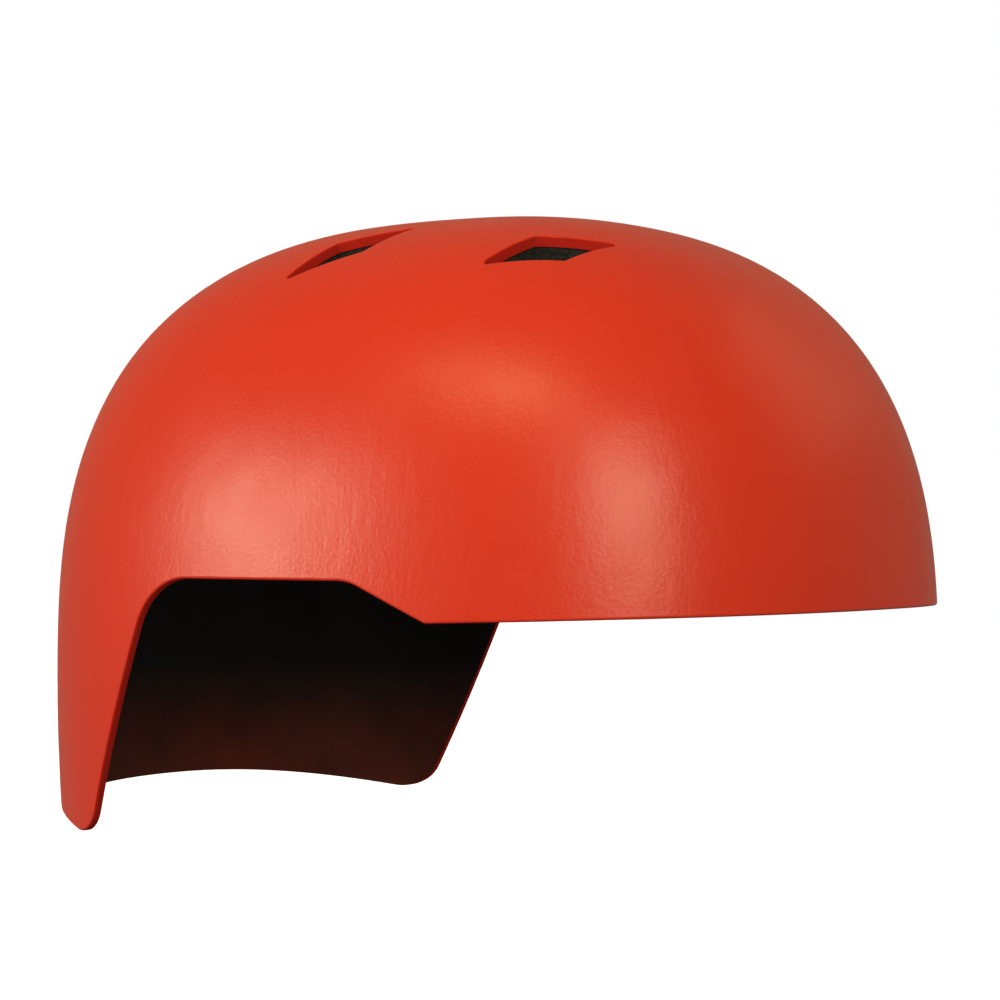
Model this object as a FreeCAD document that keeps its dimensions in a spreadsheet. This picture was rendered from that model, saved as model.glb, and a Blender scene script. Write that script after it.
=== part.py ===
"""Climbing helmet: a painted hard shell with six slanted vents, a foam liner, a headband whose
cradle tilts and tightens with a geared knob, and a chin strap that folds up inside the bowl.

Millimetres. +X is the wearer's left, -Y is the front, +Z is up. The origin is the centre of the
head opening, level with the lower edge of the shell at the front corners of the ear openings.
"""
import FreeCAD, Part
import math
import os

import Sketcher

DOC = FreeCAD.newDocument("climbing_helmet")
VECTOR = FreeCAD.Vector
AXES = {"x": VECTOR(1, 0, 0), "y": VECTOR(0, 1, 0), "z": VECTOR(0, 0, 1)}

DRIVING = [
    # outer shell
    ("shell_half", 107.1), ("shell_front", 135.0), ("shell_rear", 145.0),
    ("crown_level", 124.0), ("widest_level", -17.0), ("skirt_level", -76.0),
    ("short_skirt_level", -22.0),
    ("skirt_taper", 0.032), ("taper_depth", 80.0), ("plan_power", 2.58), ("profile_power", 2.7),
    ("wall", 2.7), ("edge_round", 0.8), ("bond_gap", 0.1), ("reach", 200.0),
    # lower edge of the shell, seen from the side
    ("brim_rise", 0.031), ("ear_front", -42.0), ("ear_run", 25.0), ("ear_rear", 57.8),
    ("ear_top", 12.8), ("nape_front", 90.2), ("nape_low", -67.2), ("nape_back", 143.0),
    ("nape_rise", 10.2), ("ear_front_round", 18.0), ("ear_rear_round", 23.0),
    ("nape_round", 11.5),
    # vents: one slanted four-sided hole, three on each side
    ("vent_half_run", 13.3), ("vent_half_drop", 15.1), ("vent_cross_run", 3.9),
    ("vent_cross_rise", 7.4), ("vent_round", 0.8),
    ("vent_front_x", 54.4), ("vent_front_y", -51.8), ("vent_middle_x", 57.7),
    ("vent_middle_y", 16.7), ("vent_rear_x", 44.4), ("vent_rear_y", 80.7),
    # foam liner and comfort pads
    ("soft_gap", 0.3), ("liner_thick", 18.0), ("liner_level", 40.0), ("brow_thick", 12.0),
    ("brow_half", 42.0), ("pad_thick", 6.0), ("pad_half", 30.0), ("pad_deep", 42.0),
    ("pad_front_y", -43.0), ("pad_rear_y", 49.0), ("hook_thick", 0.8), ("hook_radius", 9.0),
    # side pivot shared by the cradle and the chin strap
    ("pivot_y", -8.0), ("pivot_level", 22.0), ("pin_radius", 2.5), ("pin_head", 5.0),
    ("pin_start", 75.0), ("pin_head_thick", 2.0), ("pin_end", 100.0), ("run_clear", 0.08),
    ("anchor_face", 94.0), ("anchor_half", 15.0), ("anchor_low", 14.0), ("anchor_high", 32.0),
    # headband
    ("band_half", 90.0), ("band_front", 110.0), ("band_round", 60.0), ("band_thick", 2.0),
    ("band_rise", 9.0), ("brow_pad_thick", 5.0), ("brow_pad_end", -46.0),
    ("stud_x", 20.0), ("stud_radius", 2.0), ("stud_head", 3.5), ("stud_head_thick", 1.2),
    ("stud_length", 8.0), ("mount_half", 6.0),
    # cradle arms and their racks
    ("arm_half", 87.7), ("arm_back", 109.0), ("arm_round", 46.0), ("arm_thick", 2.0),
    ("rack_start", 38.0), ("rack_end", 16.0), ("rack_body", 3.1), ("tooth_size", 0.8),
    ("tooth_count", 10.0), ("tooth_share", 0.40), ("tooth_tip", 0.70), ("tooth_root", 1.10),
    # adjuster at the nape
    ("case_half", 32.0), ("case_rise", 10.3), ("case_round", 6.0), ("case_wall", 2.0),
    ("case_back", 112.0), ("plate_thick", 2.0), ("inner_gap", 0.3), ("knob_radius", 11.5),
    ("knob_thick", 8.0), ("knob_gap", 1.0), ("shaft_radius", 2.2), ("grip_count", 12.0),
    ("grip_radius", 2.0), ("grip_out", 0.8), ("press_gap", 0.02),
    ("screw_radius", 1.4), ("screw_head", 2.6), ("screw_x", 27.0), ("screw_sink", 1.2),
    ("screw_head_thick", 1.0), ("hole_stop", 0.5), ("screw_stop", 0.8),
    ("nape_pad_thick", 5.5), ("nape_pad_half", 36.0), ("spring_thick", 0.4),
    ("spring_gap", 0.05), ("spring_half", 3.0), ("spring_near", 3.5), ("spring_far", 9.0),
    # chin strap
    ("web_x", 78.3), ("web_thick", 1.2), ("web_half", 10.0), ("knee_level", 46.0),
    ("shoulder_x", 66.0), ("shoulder_level", 71.0), ("top_x", 44.0), ("top_level", 87.0),
    ("web_bend", 12.0), ("web_gap", 0.4), ("web_left_end", 6.5), ("web_right_end", -18.0),
    ("bar_level", 35.0), ("bar_radius", 1.0), ("hanger_thick", 2.0), ("hanger_low", 8.0),
    ("hanger_side", 2.0), ("hanger_room", 1.4), ("hanger_round", 7.0),
    ("buckle_half", 13.5), ("buckle_thick", 8.0), ("buckle_above", 2.0), ("buckle_round", 5.0),
    ("buckle_wall", 3.0), ("socket_back", 24.0), ("socket_mouth", 4.0), ("socket_tail", 7.0),
    ("window_near", 7.0), ("window_far", 14.0), ("plug_back", 22.0), ("prong_reach", 16.0),
    ("prong_thick", 3.8), ("prong_outer", 3.5), ("prong_inner", 7.0),
    ("keeper_x", 36.0), ("keeper_half", 2.0), ("keeper_side", 2.0), ("keeper_wall", 1.0),
    ("keeper_gap", 0.9),
]


def make_sheet():
    """The driving dimensions, one alias to a row."""
    sheet = DOC.addObject("Spreadsheet::Sheet", "Sizes")
    for row, (alias, value) in enumerate(DRIVING, start=1):
        sheet.set("A%d" % row, alias)
        sheet.set("B%d" % row, str(value))
        sheet.setAlias("B%d" % row, alias)
    DOC.recompute()
    return sheet


SHEET = make_sheet()
PARTS = {}


def size(alias):
    """A cell's number."""
    return float(SHEET.get(alias))


def cells(text):
    """Turns [name] into a reference to the sheet's cell of that name."""
    return text.replace("[", "Sizes.").replace("]", "")


def keep(obj, label):
    """Registers a finished sub-part under the name of its file."""
    obj.Label = label
    PARTS[label] = obj
    return obj


def add_sketch(body, name, plane, offset):
    """An empty sketch on one of the body's own origin planes, moved along the plane's normal."""
    sketch = body.newObject("Sketcher::SketchObject", name)
    base = [item for item in body.Origin.OriginFeatures if item.Role == plane][0]
    sketch.AttachmentSupport = [(base, "")]
    sketch.MapMode = "FlatFace"
    sketch.setExpression("AttachmentOffset.Base.z", cells(offset))
    return sketch


def draw_loop(sketch, outline):
    """A closed loop of lines whose corners are bound to pairs of cell expressions."""
    first = sketch.GeometryCount
    count = len(outline)
    ring = [VECTOR(math.cos(2 * math.pi * i / count), math.sin(2 * math.pi * i / count), 0) * 50
            for i in range(count)]
    for i in range(count):
        sketch.addGeometry(Part.LineSegment(ring[i], ring[(i + 1) % count]), False)
    for i in range(count):
        follower = first + (i + 1) % count
        sketch.addConstraint(Sketcher.Constraint("Coincident", first + i, 2, follower, 1))
    for i, corner in enumerate(outline):
        for kind, value in zip(("DistanceX", "DistanceY"), corner):
            index = sketch.addConstraint(Sketcher.Constraint(kind, -1, 1, first + i, 1, 1.0))
            sketch.setExpression("Constraints[%d]" % index, cells(value))


def draw_circle(sketch, centre, radius):
    """A circle whose centre and radius are bound to cell expressions."""
    item = sketch.addGeometry(Part.Circle(VECTOR(5, 5, 0), VECTOR(0, 0, 1), 4.0), False)
    for kind, value in zip(("DistanceX", "DistanceY"), centre):
        index = sketch.addConstraint(Sketcher.Constraint(kind, -1, 1, item, 3, 5.0))
        sketch.setExpression("Constraints[%d]" % index, cells(value))
    index = sketch.addConstraint(Sketcher.Constraint("Radius", item, 4.0))
    sketch.setExpression("Constraints[%d]" % index, cells(radius))


def prism(name, plane, loops, low, high):
    """A padded body between two levels along the plane's axis.

    A loop is a list of corners, or a (centre, radius) pair for a circle.
    """
    body = DOC.addObject("PartDesign::Body", name)
    offset = "-(%s)" % high if plane == "XZ_Plane" else low
    sketch = add_sketch(body, name + "_outline", plane, offset)
    for loop in loops:
        if isinstance(loop, tuple):
            draw_circle(sketch, *loop)
        else:
            draw_loop(sketch, loop)
    pad = body.newObject("PartDesign::Pad", name + "_pad")
    pad.Profile = sketch
    pad.setExpression("Length", cells("(%s) - (%s)" % (high, low)))
    DOC.recompute()
    return body


def round_edges(body, radius, chosen):
    """Rounds the body's edges for which chosen(edge) holds."""
    tip = body.Tip
    names = ["Edge%d" % i for i, edge in enumerate(tip.Shape.Edges, start=1) if chosen(edge)]
    fillet = body.newObject("PartDesign::Fillet", body.Name + "_round")
    fillet.Base = (tip, names)
    fillet.setExpression("Radius", cells(radius))
    body.Tip = fillet
    DOC.recompute()
    return body


def runs_along(axis, test=None):
    """A chooser for straight edges along an axis, narrowed by a test of the edge's middle."""
    def chosen(edge):
        if edge.Curve.TypeId != "Part::GeomLine":
            return False
        if abs(abs(edge.Curve.Direction.dot(AXES[axis])) - 1) > 1e-6:
            return False
        return test is None or test(edge.CenterOfMass)
    return chosen


def block(name, x_span, y_span, z_span):
    """A box between pairs of cell expressions."""
    box = DOC.addObject("Part::Box", name)
    spans = zip(("Length", "Width", "Height"), "xyz", (x_span, y_span, z_span))
    for side, axis, (low, high) in spans:
        box.setExpression(side, cells("(%s) - (%s)" % (high, low)))
        box.setExpression("Placement.Base." + axis, cells(low))
    DOC.recompute()
    return box


def rod(name, axis, centre, radius, low, high):
    """A cylinder along an axis; centre gives the other two coordinates in X, Y, Z order."""
    cylinder = DOC.addObject("Part::Cylinder", name)
    turn = FreeCAD.Rotation(VECTOR(0, 0, 1), AXES[axis])
    cylinder.Placement = FreeCAD.Placement(VECTOR(0, 0, 0), turn)
    others = [letter for letter in "xyz" if letter != axis]
    for letter, value in zip(others + [axis], list(centre) + [low]):
        cylinder.setExpression("Placement.Base." + letter, cells(value))
    cylinder.setExpression("Radius", cells(radius))
    cylinder.setExpression("Height", cells("(%s) - (%s)" % (high, low)))
    DOC.recompute()
    return cylinder


def cut(name, base, *tools):
    """The base less each tool in turn."""
    for index, tool in enumerate(tools):
        step = DOC.addObject("Part::Cut", "%s_cut%d" % (name, index))
        step.Base = base
        step.Tool = tool
        base = step
    DOC.recompute()
    return base


def fuse(name, *shapes):
    """One solid from several that meet."""
    joined = DOC.addObject("Part::MultiFuse", name + "_fused")
    joined.Shapes = list(shapes)
    DOC.recompute()
    return joined


def common(name, base, tool):
    """What two solids share."""
    shared = DOC.addObject("Part::Common", name + "_common")
    shared.Base = base
    shared.Tool = tool
    DOC.recompute()
    return shared


def group(name, *solids):
    """Separate identical pieces that share one file."""
    together = DOC.addObject("Part::Compound", name + "_group")
    together.Links = list(solids)
    DOC.recompute()
    return together


def mirrored(name, source):
    """The same piece on the other side of the helmet."""
    other = DOC.addObject("Part::Mirroring", name + "_mirror")
    other.Source = source
    other.Normal = AXES["x"]
    DOC.recompute()
    return other


# ---------------------------------------------------------------- dome surfaces

PLAN_POINTS = 40
SKIRT_ROWS = 5
DOME_ROWS = 12


def dome_shape(inset, bottom):
    """A closed dome: superellipse in plan and in profile, with a slightly tapered skirt."""
    level = size("widest_level")
    half, front, rear = [size(a) - inset for a in ("shell_half", "shell_front", "shell_rear")]
    height = size("crown_level") - inset - level
    power, profile = size("plan_power"), size("profile_power")
    shrink = (2 + math.cos(2 * math.pi / PLAN_POINTS)) / 3
    plan = []
    for i in range(PLAN_POINTS):
        angle = 2 * math.pi * i / PLAN_POINTS
        across, along = math.cos(angle), math.sin(angle)
        length = rear if along > 0 else front
        total = (abs(across) / half) ** power + (abs(along) / length) ** power
        radius = total ** (-1 / power) / shrink
        plan.append((radius * across, radius * along))
    rows = []
    for j in range(SKIRT_ROWS):
        z = bottom + (level - bottom) * j / SKIRT_ROWS
        rows.append((1 - size("skirt_taper") * ((level - z) / size("taper_depth")) ** 2, z))
    for j in range(DOME_ROWS):
        tilt = math.pi / 2 * j / DOME_ROWS
        total = math.cos(tilt) ** profile + math.sin(tilt) ** profile
        radius = total ** (-1 / profile)
        rows.append((radius * math.cos(tilt), level + height * radius * math.sin(tilt)))
    rows[-1] = (rows[-1][0], level + height)
    rows.append((0.0, level + height))
    poles = [[VECTOR(x * scale, y * scale, z) for scale, z in rows] for x, y in plan]
    knots = list(range(len(rows) - 2))
    surface = Part.BSplineSurface()
    surface.buildFromPolesMultsKnots(
        poles, [1] * (PLAN_POINTS + 1), [4] + [1] * (len(knots) - 2) + [4],
        list(range(PLAN_POINTS + 1)), knots, True, False, 3, 3)
    skin = surface.toShape()
    rim = [e for e in skin.Edges if max(abs(v.Z - bottom) for v in e.Vertexes) < 1e-3
           and abs(e.CenterOfMass.z - bottom) < 1e-3]
    floor = Part.Face(Part.Wire(rim))
    if floor.normalAt(0, 0).z > 0:
        floor.reverse()
    closed = Part.Shell([skin, floor])
    closed.sewShape()
    solid = Part.Solid(closed)
    if not solid.isValid():
        solid.fix(0.01, 0.01, 0.01)
    if solid.Volume < 0:
        solid.reverse()
    return solid


def dome(name, inset, bottom):
    """A dome as a document object; inset is how far it lies inside the shell's outside."""
    feature = DOC.addObject("Part::Feature", name)
    feature.Shape = dome_shape(inset, bottom)
    feature.Placement = FreeCAD.Placement()
    return feature


# ---------------------------------------------------------------- shell

def make_rim_cutter():
    """Everything below the brim, the ear openings and the nape's lower edge."""
    floor = "-[reach]"
    outline = [
        ("-[reach]", "[reach] * [brim_rise]"),
        ("[ear_front]", "-[ear_front] * [brim_rise]"),
        ("[ear_front] + [ear_run]", "[ear_top]"),
        ("[ear_rear]", "[ear_top]"),
        ("[nape_front]", "[nape_low]"),
        ("[nape_back]", "[nape_low] + [nape_rise]"),
        ("[reach]", "[nape_low] + [nape_rise]"),
        ("[reach]", floor),
        ("-[reach]", floor),
    ]
    cutter = prism("rim_cutter", "YZ_Plane", [outline], "-[reach]", "[reach]")
    corners = (("ear_front_round", size("ear_front") + size("ear_run")),
               ("ear_rear_round", size("ear_rear")), ("nape_round", size("nape_front")))
    for radius, place in corners:
        round_edges(cutter, "[%s]" % radius,
                    runs_along("x", lambda p, y=place: abs(p.y - y) < 0.01 and p.z > -100))
    return cutter


def make_vent_cutter():
    """The six vents as upright prisms."""
    loops = []
    for side in (-1, 1):
        for place in ("front", "middle", "rear"):
            x, y = "[vent_%s_x]" % place, "[vent_%s_y]" % place
            corners = [("+ [vent_half_run]", "- [vent_half_drop]"),
                       ("+ [vent_cross_run]", "+ [vent_cross_rise]"),
                       ("- [vent_half_run]", "+ [vent_half_drop]"),
                       ("- [vent_cross_run]", "- [vent_cross_rise]")]
            loops.append([("%d * (-(%s) %s)" % (-side, x, run), "%s %s" % (y, drop))
                          for run, drop in corners])
    cutter = prism("vent_cutter", "XY_Plane", loops, "0", "[crown_level] + 10")
    return round_edges(cutter, "[vent_round]", runs_along("z"))


def shell_outer_edges(shape, chosen):
    """Numbers of the edges on the shell's outside for which chosen(edge) holds."""
    outside = max(shape.Faces, key=lambda face: face.Area)
    seams = [e.hashCode() for e in outside.Edges if e.isSeam(outside)]
    wanted = [e for e in outside.Edges if e.hashCode() not in seams and chosen(e)]
    return [i for i, edge in enumerate(shape.Edges, start=1)
            if any(edge.isSame(other) for other in wanted)]


def round_outside(name, base, chosen):
    """Rounds the outer corner of a cut edge of the shell."""
    fillet = DOC.addObject("Part::Fillet", name)
    fillet.Base = base
    radius = size("edge_round")
    fillet.Edges = [(i, radius, radius) for i in shell_outer_edges(base.Shape, chosen)]
    DOC.recompute()
    return fillet


def make_outer_shell(vents):
    outside = dome("shell_outside", 0.0, size("skirt_level"))
    inside = dome("shell_inside", size("wall"), size("skirt_level") - 1)
    shell = cut("shell", outside, inside, make_rim_cutter(), vents)
    rim = round_outside("shell_rim", shell, lambda e: e.BoundBox.ZMax < 60)
    lips = round_outside("shell_lips", rim, lambda e: e.BoundBox.ZMin > 60 and e.Length > 0.01)
    keep(lips, "outer_shell")


# ---------------------------------------------------------------- foam and pads

def layer(name, outer_inset, inner_inset):
    """The space between two insets of the dome."""
    bottom = size("short_skirt_level")
    return cut(name + "_layer", dome(name + "_outside", outer_inset, bottom),
               dome(name + "_inside", inner_inset, bottom - 1))


def make_foam(vents):
    """The foam cap over the crown, the brow block and the pads inside the cap."""
    outer = dome("liner_outside", size("wall") + size("soft_gap"), size("short_skirt_level"))
    lining = size("wall") + size("soft_gap") + size("liner_thick")
    inner = dome("liner_inside", lining, size("short_skirt_level") - 1)
    below = block("liner_floor", ("-[reach]", "[reach]"), ("-[reach]", "[reach]"),
                  ("-[reach]", "[liner_level]"))
    keep(cut("liner", outer, inner, vents, below), "crown_liner")

    brow_inset = size("wall") + size("soft_gap") + size("brow_thick")
    brow_inner = dome("brow_inside", brow_inset, size("short_skirt_level") - 1)
    brow_zone = block("brow_zone", ("-[brow_half]", "[brow_half]"), ("-[reach]", "0"),
                      ("[pivot_level] - [band_rise]", "[liner_level] - [soft_gap]"))
    notches = [block("brow_notch_" + name,
                     ("%s[stud_x] - [mount_half] - [soft_gap]" % sign,
                      "%s[stud_x] + [mount_half] + [soft_gap]" % sign),
                     ("-[reach]", "0"), ("0", "[pivot_level] + [mount_half] + [soft_gap]"))
               for name, sign in (("left", ""), ("right", "-"))]
    brow = cut("brow", common("brow", outer, brow_zone), brow_inner, *notches)
    keep(brow, "brow_liner")

    hooks = lining + size("hook_thick")
    pad_layer = layer("pads", hooks, hooks + size("pad_thick"))
    hook_layer = layer("hooks", lining + size("bond_gap"), hooks - size("bond_gap"))
    discs = []
    for name in ("front", "rear"):
        middle = "[pad_%s_y]" % name
        zone = prism("pad_zone_" + name, "XY_Plane", [[
            ("-[pad_half]", middle + " - [pad_deep] / 2"),
            ("[pad_half]", middle + " - [pad_deep] / 2"),
            ("[pad_half]", middle + " + [pad_deep] / 2"),
            ("-[pad_half]", middle + " + [pad_deep] / 2")]],
            "[liner_level]", "[crown_level]")
        round_edges(zone, "[hook_radius]", runs_along("z"))
        keep(common("pad_" + name, pad_layer, zone), "crown_pad_" + name)
        for side in ("", "-"):
            post = rod("hook_post", "z", (side + "[pad_half] / 2", middle), "[hook_radius]",
                       "[liner_level]", "[crown_level]")
            discs.append(common("hook", hook_layer, post))
    keep(group("hooks", *discs), "pad_hook_discs")


# ---------------------------------------------------------------- anchors and headband

def make_anchors():
    """Blocks bonded inside the shell: two at the sides for the pivots, two behind the brow."""
    bonded = dome("bond_surface", size("wall") + size("bond_gap"), size("short_skirt_level"))
    side = block("side_block", ("[anchor_face]", "[shell_half]"),
                 ("[pivot_y] - [anchor_half]", "[pivot_y] + [anchor_half]"),
                 ("[anchor_low]", "[anchor_high]"))
    hole = rod("anchor_hole", "x", ("[pivot_y]", "[pivot_level]"),
               "[pin_radius] + [run_clear]", "[anchor_face] - 1", "[pin_end] + [inner_gap]")
    left = cut("side_anchor", common("side_anchor", bonded, side), hole)
    keep(left, "side_anchor_left")
    keep(mirrored("side_anchor", left), "side_anchor_right")

    brow = block("brow_block", ("[stud_x] - [mount_half]", "[stud_x] + [mount_half]"),
                 ("-[shell_front]", "-[band_front] - [bond_gap]"),
                 ("[pivot_level] - [mount_half]", "[pivot_level] + [mount_half]"))
    socket = rod("stud_hole", "y", ("[stud_x]", "[pivot_level]"), "[stud_radius] + [run_clear]",
                 "-[band_front] + [band_thick] - [stud_length] - [inner_gap]",
                 "-[band_front] + 1")
    left = cut("front_anchor", common("front_anchor", bonded, brow), socket)
    keep(left, "front_anchor_left")
    keep(mirrored("front_anchor", left), "front_anchor_right")


def make_pins():
    """Side pivots and brow studs."""
    pins = []
    for name, sign in (("left", 1), ("right", -1)):
        outline = [("[pin_start]", "0"), ("[pin_start]", "[pin_head]"),
                   ("[pin_start] + [pin_head_thick]", "[pin_head]"),
                   ("[pin_start] + [pin_head_thick]", "[pin_radius]"),
                   ("[band_half] + [bond_gap]", "[pin_radius]"),
                   ("[band_half] + [bond_gap]", "[pin_head]"),
                   ("[anchor_face] - [bond_gap]", "[pin_head]"),
                   ("[anchor_face] - [bond_gap]", "[pin_radius]"),
                   ("[pin_end]", "[pin_radius]"), ("[pin_end]", "0")]
        body = DOC.addObject("PartDesign::Body", "pin_" + name)
        sketch = add_sketch(body, "pin_profile_" + name, "XY_Plane", "0")
        draw_loop(sketch, [("%d * (%s)" % (sign, x), y) for x, y in outline])
        turned = body.newObject("PartDesign::Revolution", "pin_turned_" + name)
        turned.Profile = sketch
        turned.ReferenceAxis = (sketch, ["H_Axis"])
        turned.Angle = 360
        body.setExpression("Placement.Base.y", cells("[pivot_y]"))
        body.setExpression("Placement.Base.z", cells("[pivot_level]"))
        pins.append(body)
    DOC.recompute()
    keep(group("pins", *pins), "side_pins")

    studs = []
    for sign in ("", "-"):
        inside = "-[band_front] + [band_thick]"
        centre = (sign + "[stud_x]", "[pivot_level]")
        head = rod("stud_top", "y", centre, "[stud_head]", inside,
                   inside + " + [stud_head_thick]")
        stem = rod("stud_stem", "y", centre, "[stud_radius]", inside + " - [stud_length]",
                   inside + " + [stud_head_thick] / 2")
        studs.append(fuse("stud", head, stem))
    keep(group("studs", *studs), "brow_studs")


def u_shape(half, front, thick, end):
    """A U in plan, open to the rear: outer half width and front, wall, and where its legs end."""
    inner_half, inner_front = "(%s) - (%s)" % (half, thick), "(%s) - (%s)" % (front, thick)
    return [(half, end), (half, "-(%s)" % front), ("-(%s)" % half, "-(%s)" % front),
            ("-(%s)" % half, end), ("-(%s)" % inner_half, end),
            ("-(%s)" % inner_half, "-(%s)" % inner_front), (inner_half, "-(%s)" % inner_front),
            (inner_half, end)]


def make_u_band(name, half, front, thick, end, radius):
    """A U band of the headband's height with concentric rounded front corners."""
    band = prism(name, "XY_Plane", [u_shape(half, front, thick, end)],
                 "[pivot_level] - [band_rise]", "[pivot_level] + [band_rise]")
    depth = {}
    for edge in band.Tip.Shape.Edges:
        if runs_along("z")(edge) and edge.CenterOfMass.y < band.Tip.Shape.BoundBox.YMin + 15:
            depth.setdefault(round(edge.CenterOfMass.y, 3), edge.CenterOfMass.y)
    outer, inner = sorted(depth.values())
    round_edges(band, radius, runs_along("z", lambda p: abs(p.y - outer) < 0.01))
    round_edges(band, "(%s) - (%s)" % (radius, thick),
                runs_along("z", lambda p: abs(p.y - inner) < 0.01))
    return band


def make_headband():
    """The fixed front half of the headband, its brow pad and its pierced ends."""
    band = make_u_band("headband", "[band_half]", "[band_front]", "[band_thick]",
                       "[pivot_y] + [band_rise]", "[band_round]")
    round_edges(band, "[band_rise] - 0.1",
                runs_along("x", lambda p: p.y > 0))
    bores = [rod("band_bore", "x", ("[pivot_y]", "[pivot_level]"), "[pin_radius] + [run_clear]",
                 "-[band_half] - 1", "[band_half] + 1")]
    for sign in ("", "-"):
        bores.append(rod("stud_bore", "y", (sign + "[stud_x]", "[pivot_level]"),
                         "[stud_radius] + [run_clear]", "-[band_front] - 1",
                         "-[band_front] + [band_thick] + 1"))
    keep(cut("headband", band, *bores), "headband")

    gap = "([band_thick] + [stud_head_thick] + [soft_gap])"
    pad = make_u_band("brow_pad", "[band_half] - " + gap, "[band_front] - " + gap,
                      "[brow_pad_thick]", "[brow_pad_end]", "[band_round] - " + gap)
    keep(pad, "brow_pad")


# ---------------------------------------------------------------- cradle

PITCH = "(pi * [tooth_size])"
PITCH_RADIUS = "([tooth_size] * [tooth_count] / 2)"
RACK_TEETH = 11


def rack_outline(side):
    """A toothed bar: above the pinion on the left arm, below it on the right one."""
    def height(value):
        return "[pivot_level] + %d * (%s)" % (side, value)

    root = PITCH_RADIUS + " + [tooth_size] * [tooth_root]"
    tip = PITCH_RADIUS + " - [tooth_size] * [tooth_tip]"
    slope = math.tan(math.radians(20))
    wide = "(%s * [tooth_share] / 2 + [tooth_size] * [tooth_root] * %.4f)" % (PITCH, slope)
    slim = "(%s * [tooth_share] / 2 - [tooth_size] * [tooth_tip] * %.4f)" % (PITCH, slope)
    top = root + " + [rack_body] - [tooth_size] * [tooth_root] + [tooth_size]"
    end, start = "%d * (-[rack_end])" % side, "%d * ([rack_start] + 1)" % side
    outline = [(start, height(top)), (end, height(top)), (end, height(root))]
    for tooth in range(RACK_TEETH):
        place = "%d * %s" % (tooth - RACK_TEETH // 2, PITCH)
        for shift, level in (("- " + wide, root), ("- " + slim, tip),
                             ("+ " + slim, tip), ("+ " + wide, root)):
            outline.append(("%d * (%s %s)" % (side, place, shift), height(level)))
    outline.append((start, height(root)))
    return outline


def make_arm(name, side):
    """A flexible arm from the side pivot round to its rack behind the nape."""
    inner_half, inner_back = "([arm_half] - [arm_thick])", "([arm_back] - [arm_thick])"
    front, inward = "[pivot_y] - [band_rise]", "%d * [rack_start]" % side
    outline = [("%d * [arm_half]" % side, front), ("%d * [arm_half]" % side, "[arm_back]"),
               (inward, "[arm_back]"), (inward, inner_back),
               ("%d * %s" % (side, inner_half), inner_back),
               ("%d * %s" % (side, inner_half), front)]
    strip = prism(name + "_strip", "XY_Plane", [outline], "[pivot_level] - [band_rise]",
                  "[pivot_level] + [band_rise]")
    far, near = size("arm_half"), size("arm_half") - size("arm_thick")
    round_edges(strip, "[arm_round]",
                runs_along("z", lambda p: p.y > 80 and abs(abs(p.x) - far) < 0.01))
    round_edges(strip, "[arm_round] - [arm_thick]",
                runs_along("z", lambda p: p.y > 80 and abs(abs(p.x) - near) < 0.01))
    round_edges(strip, "[band_rise] - 0.1", runs_along("x", lambda p: p.y < 0))
    rack = prism(name + "_rack", "XZ_Plane", [rack_outline(side)], inner_back, "[arm_back]")
    bore = rod(name + "_bore", "x", ("[pivot_y]", "[pivot_level]"), "[pin_radius] + [run_clear]",
               "%d * [band_half] - 10" % side, "%d * [band_half] + 10" % side)
    keep(cut(name, fuse(name, strip, rack), bore), name)


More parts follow.
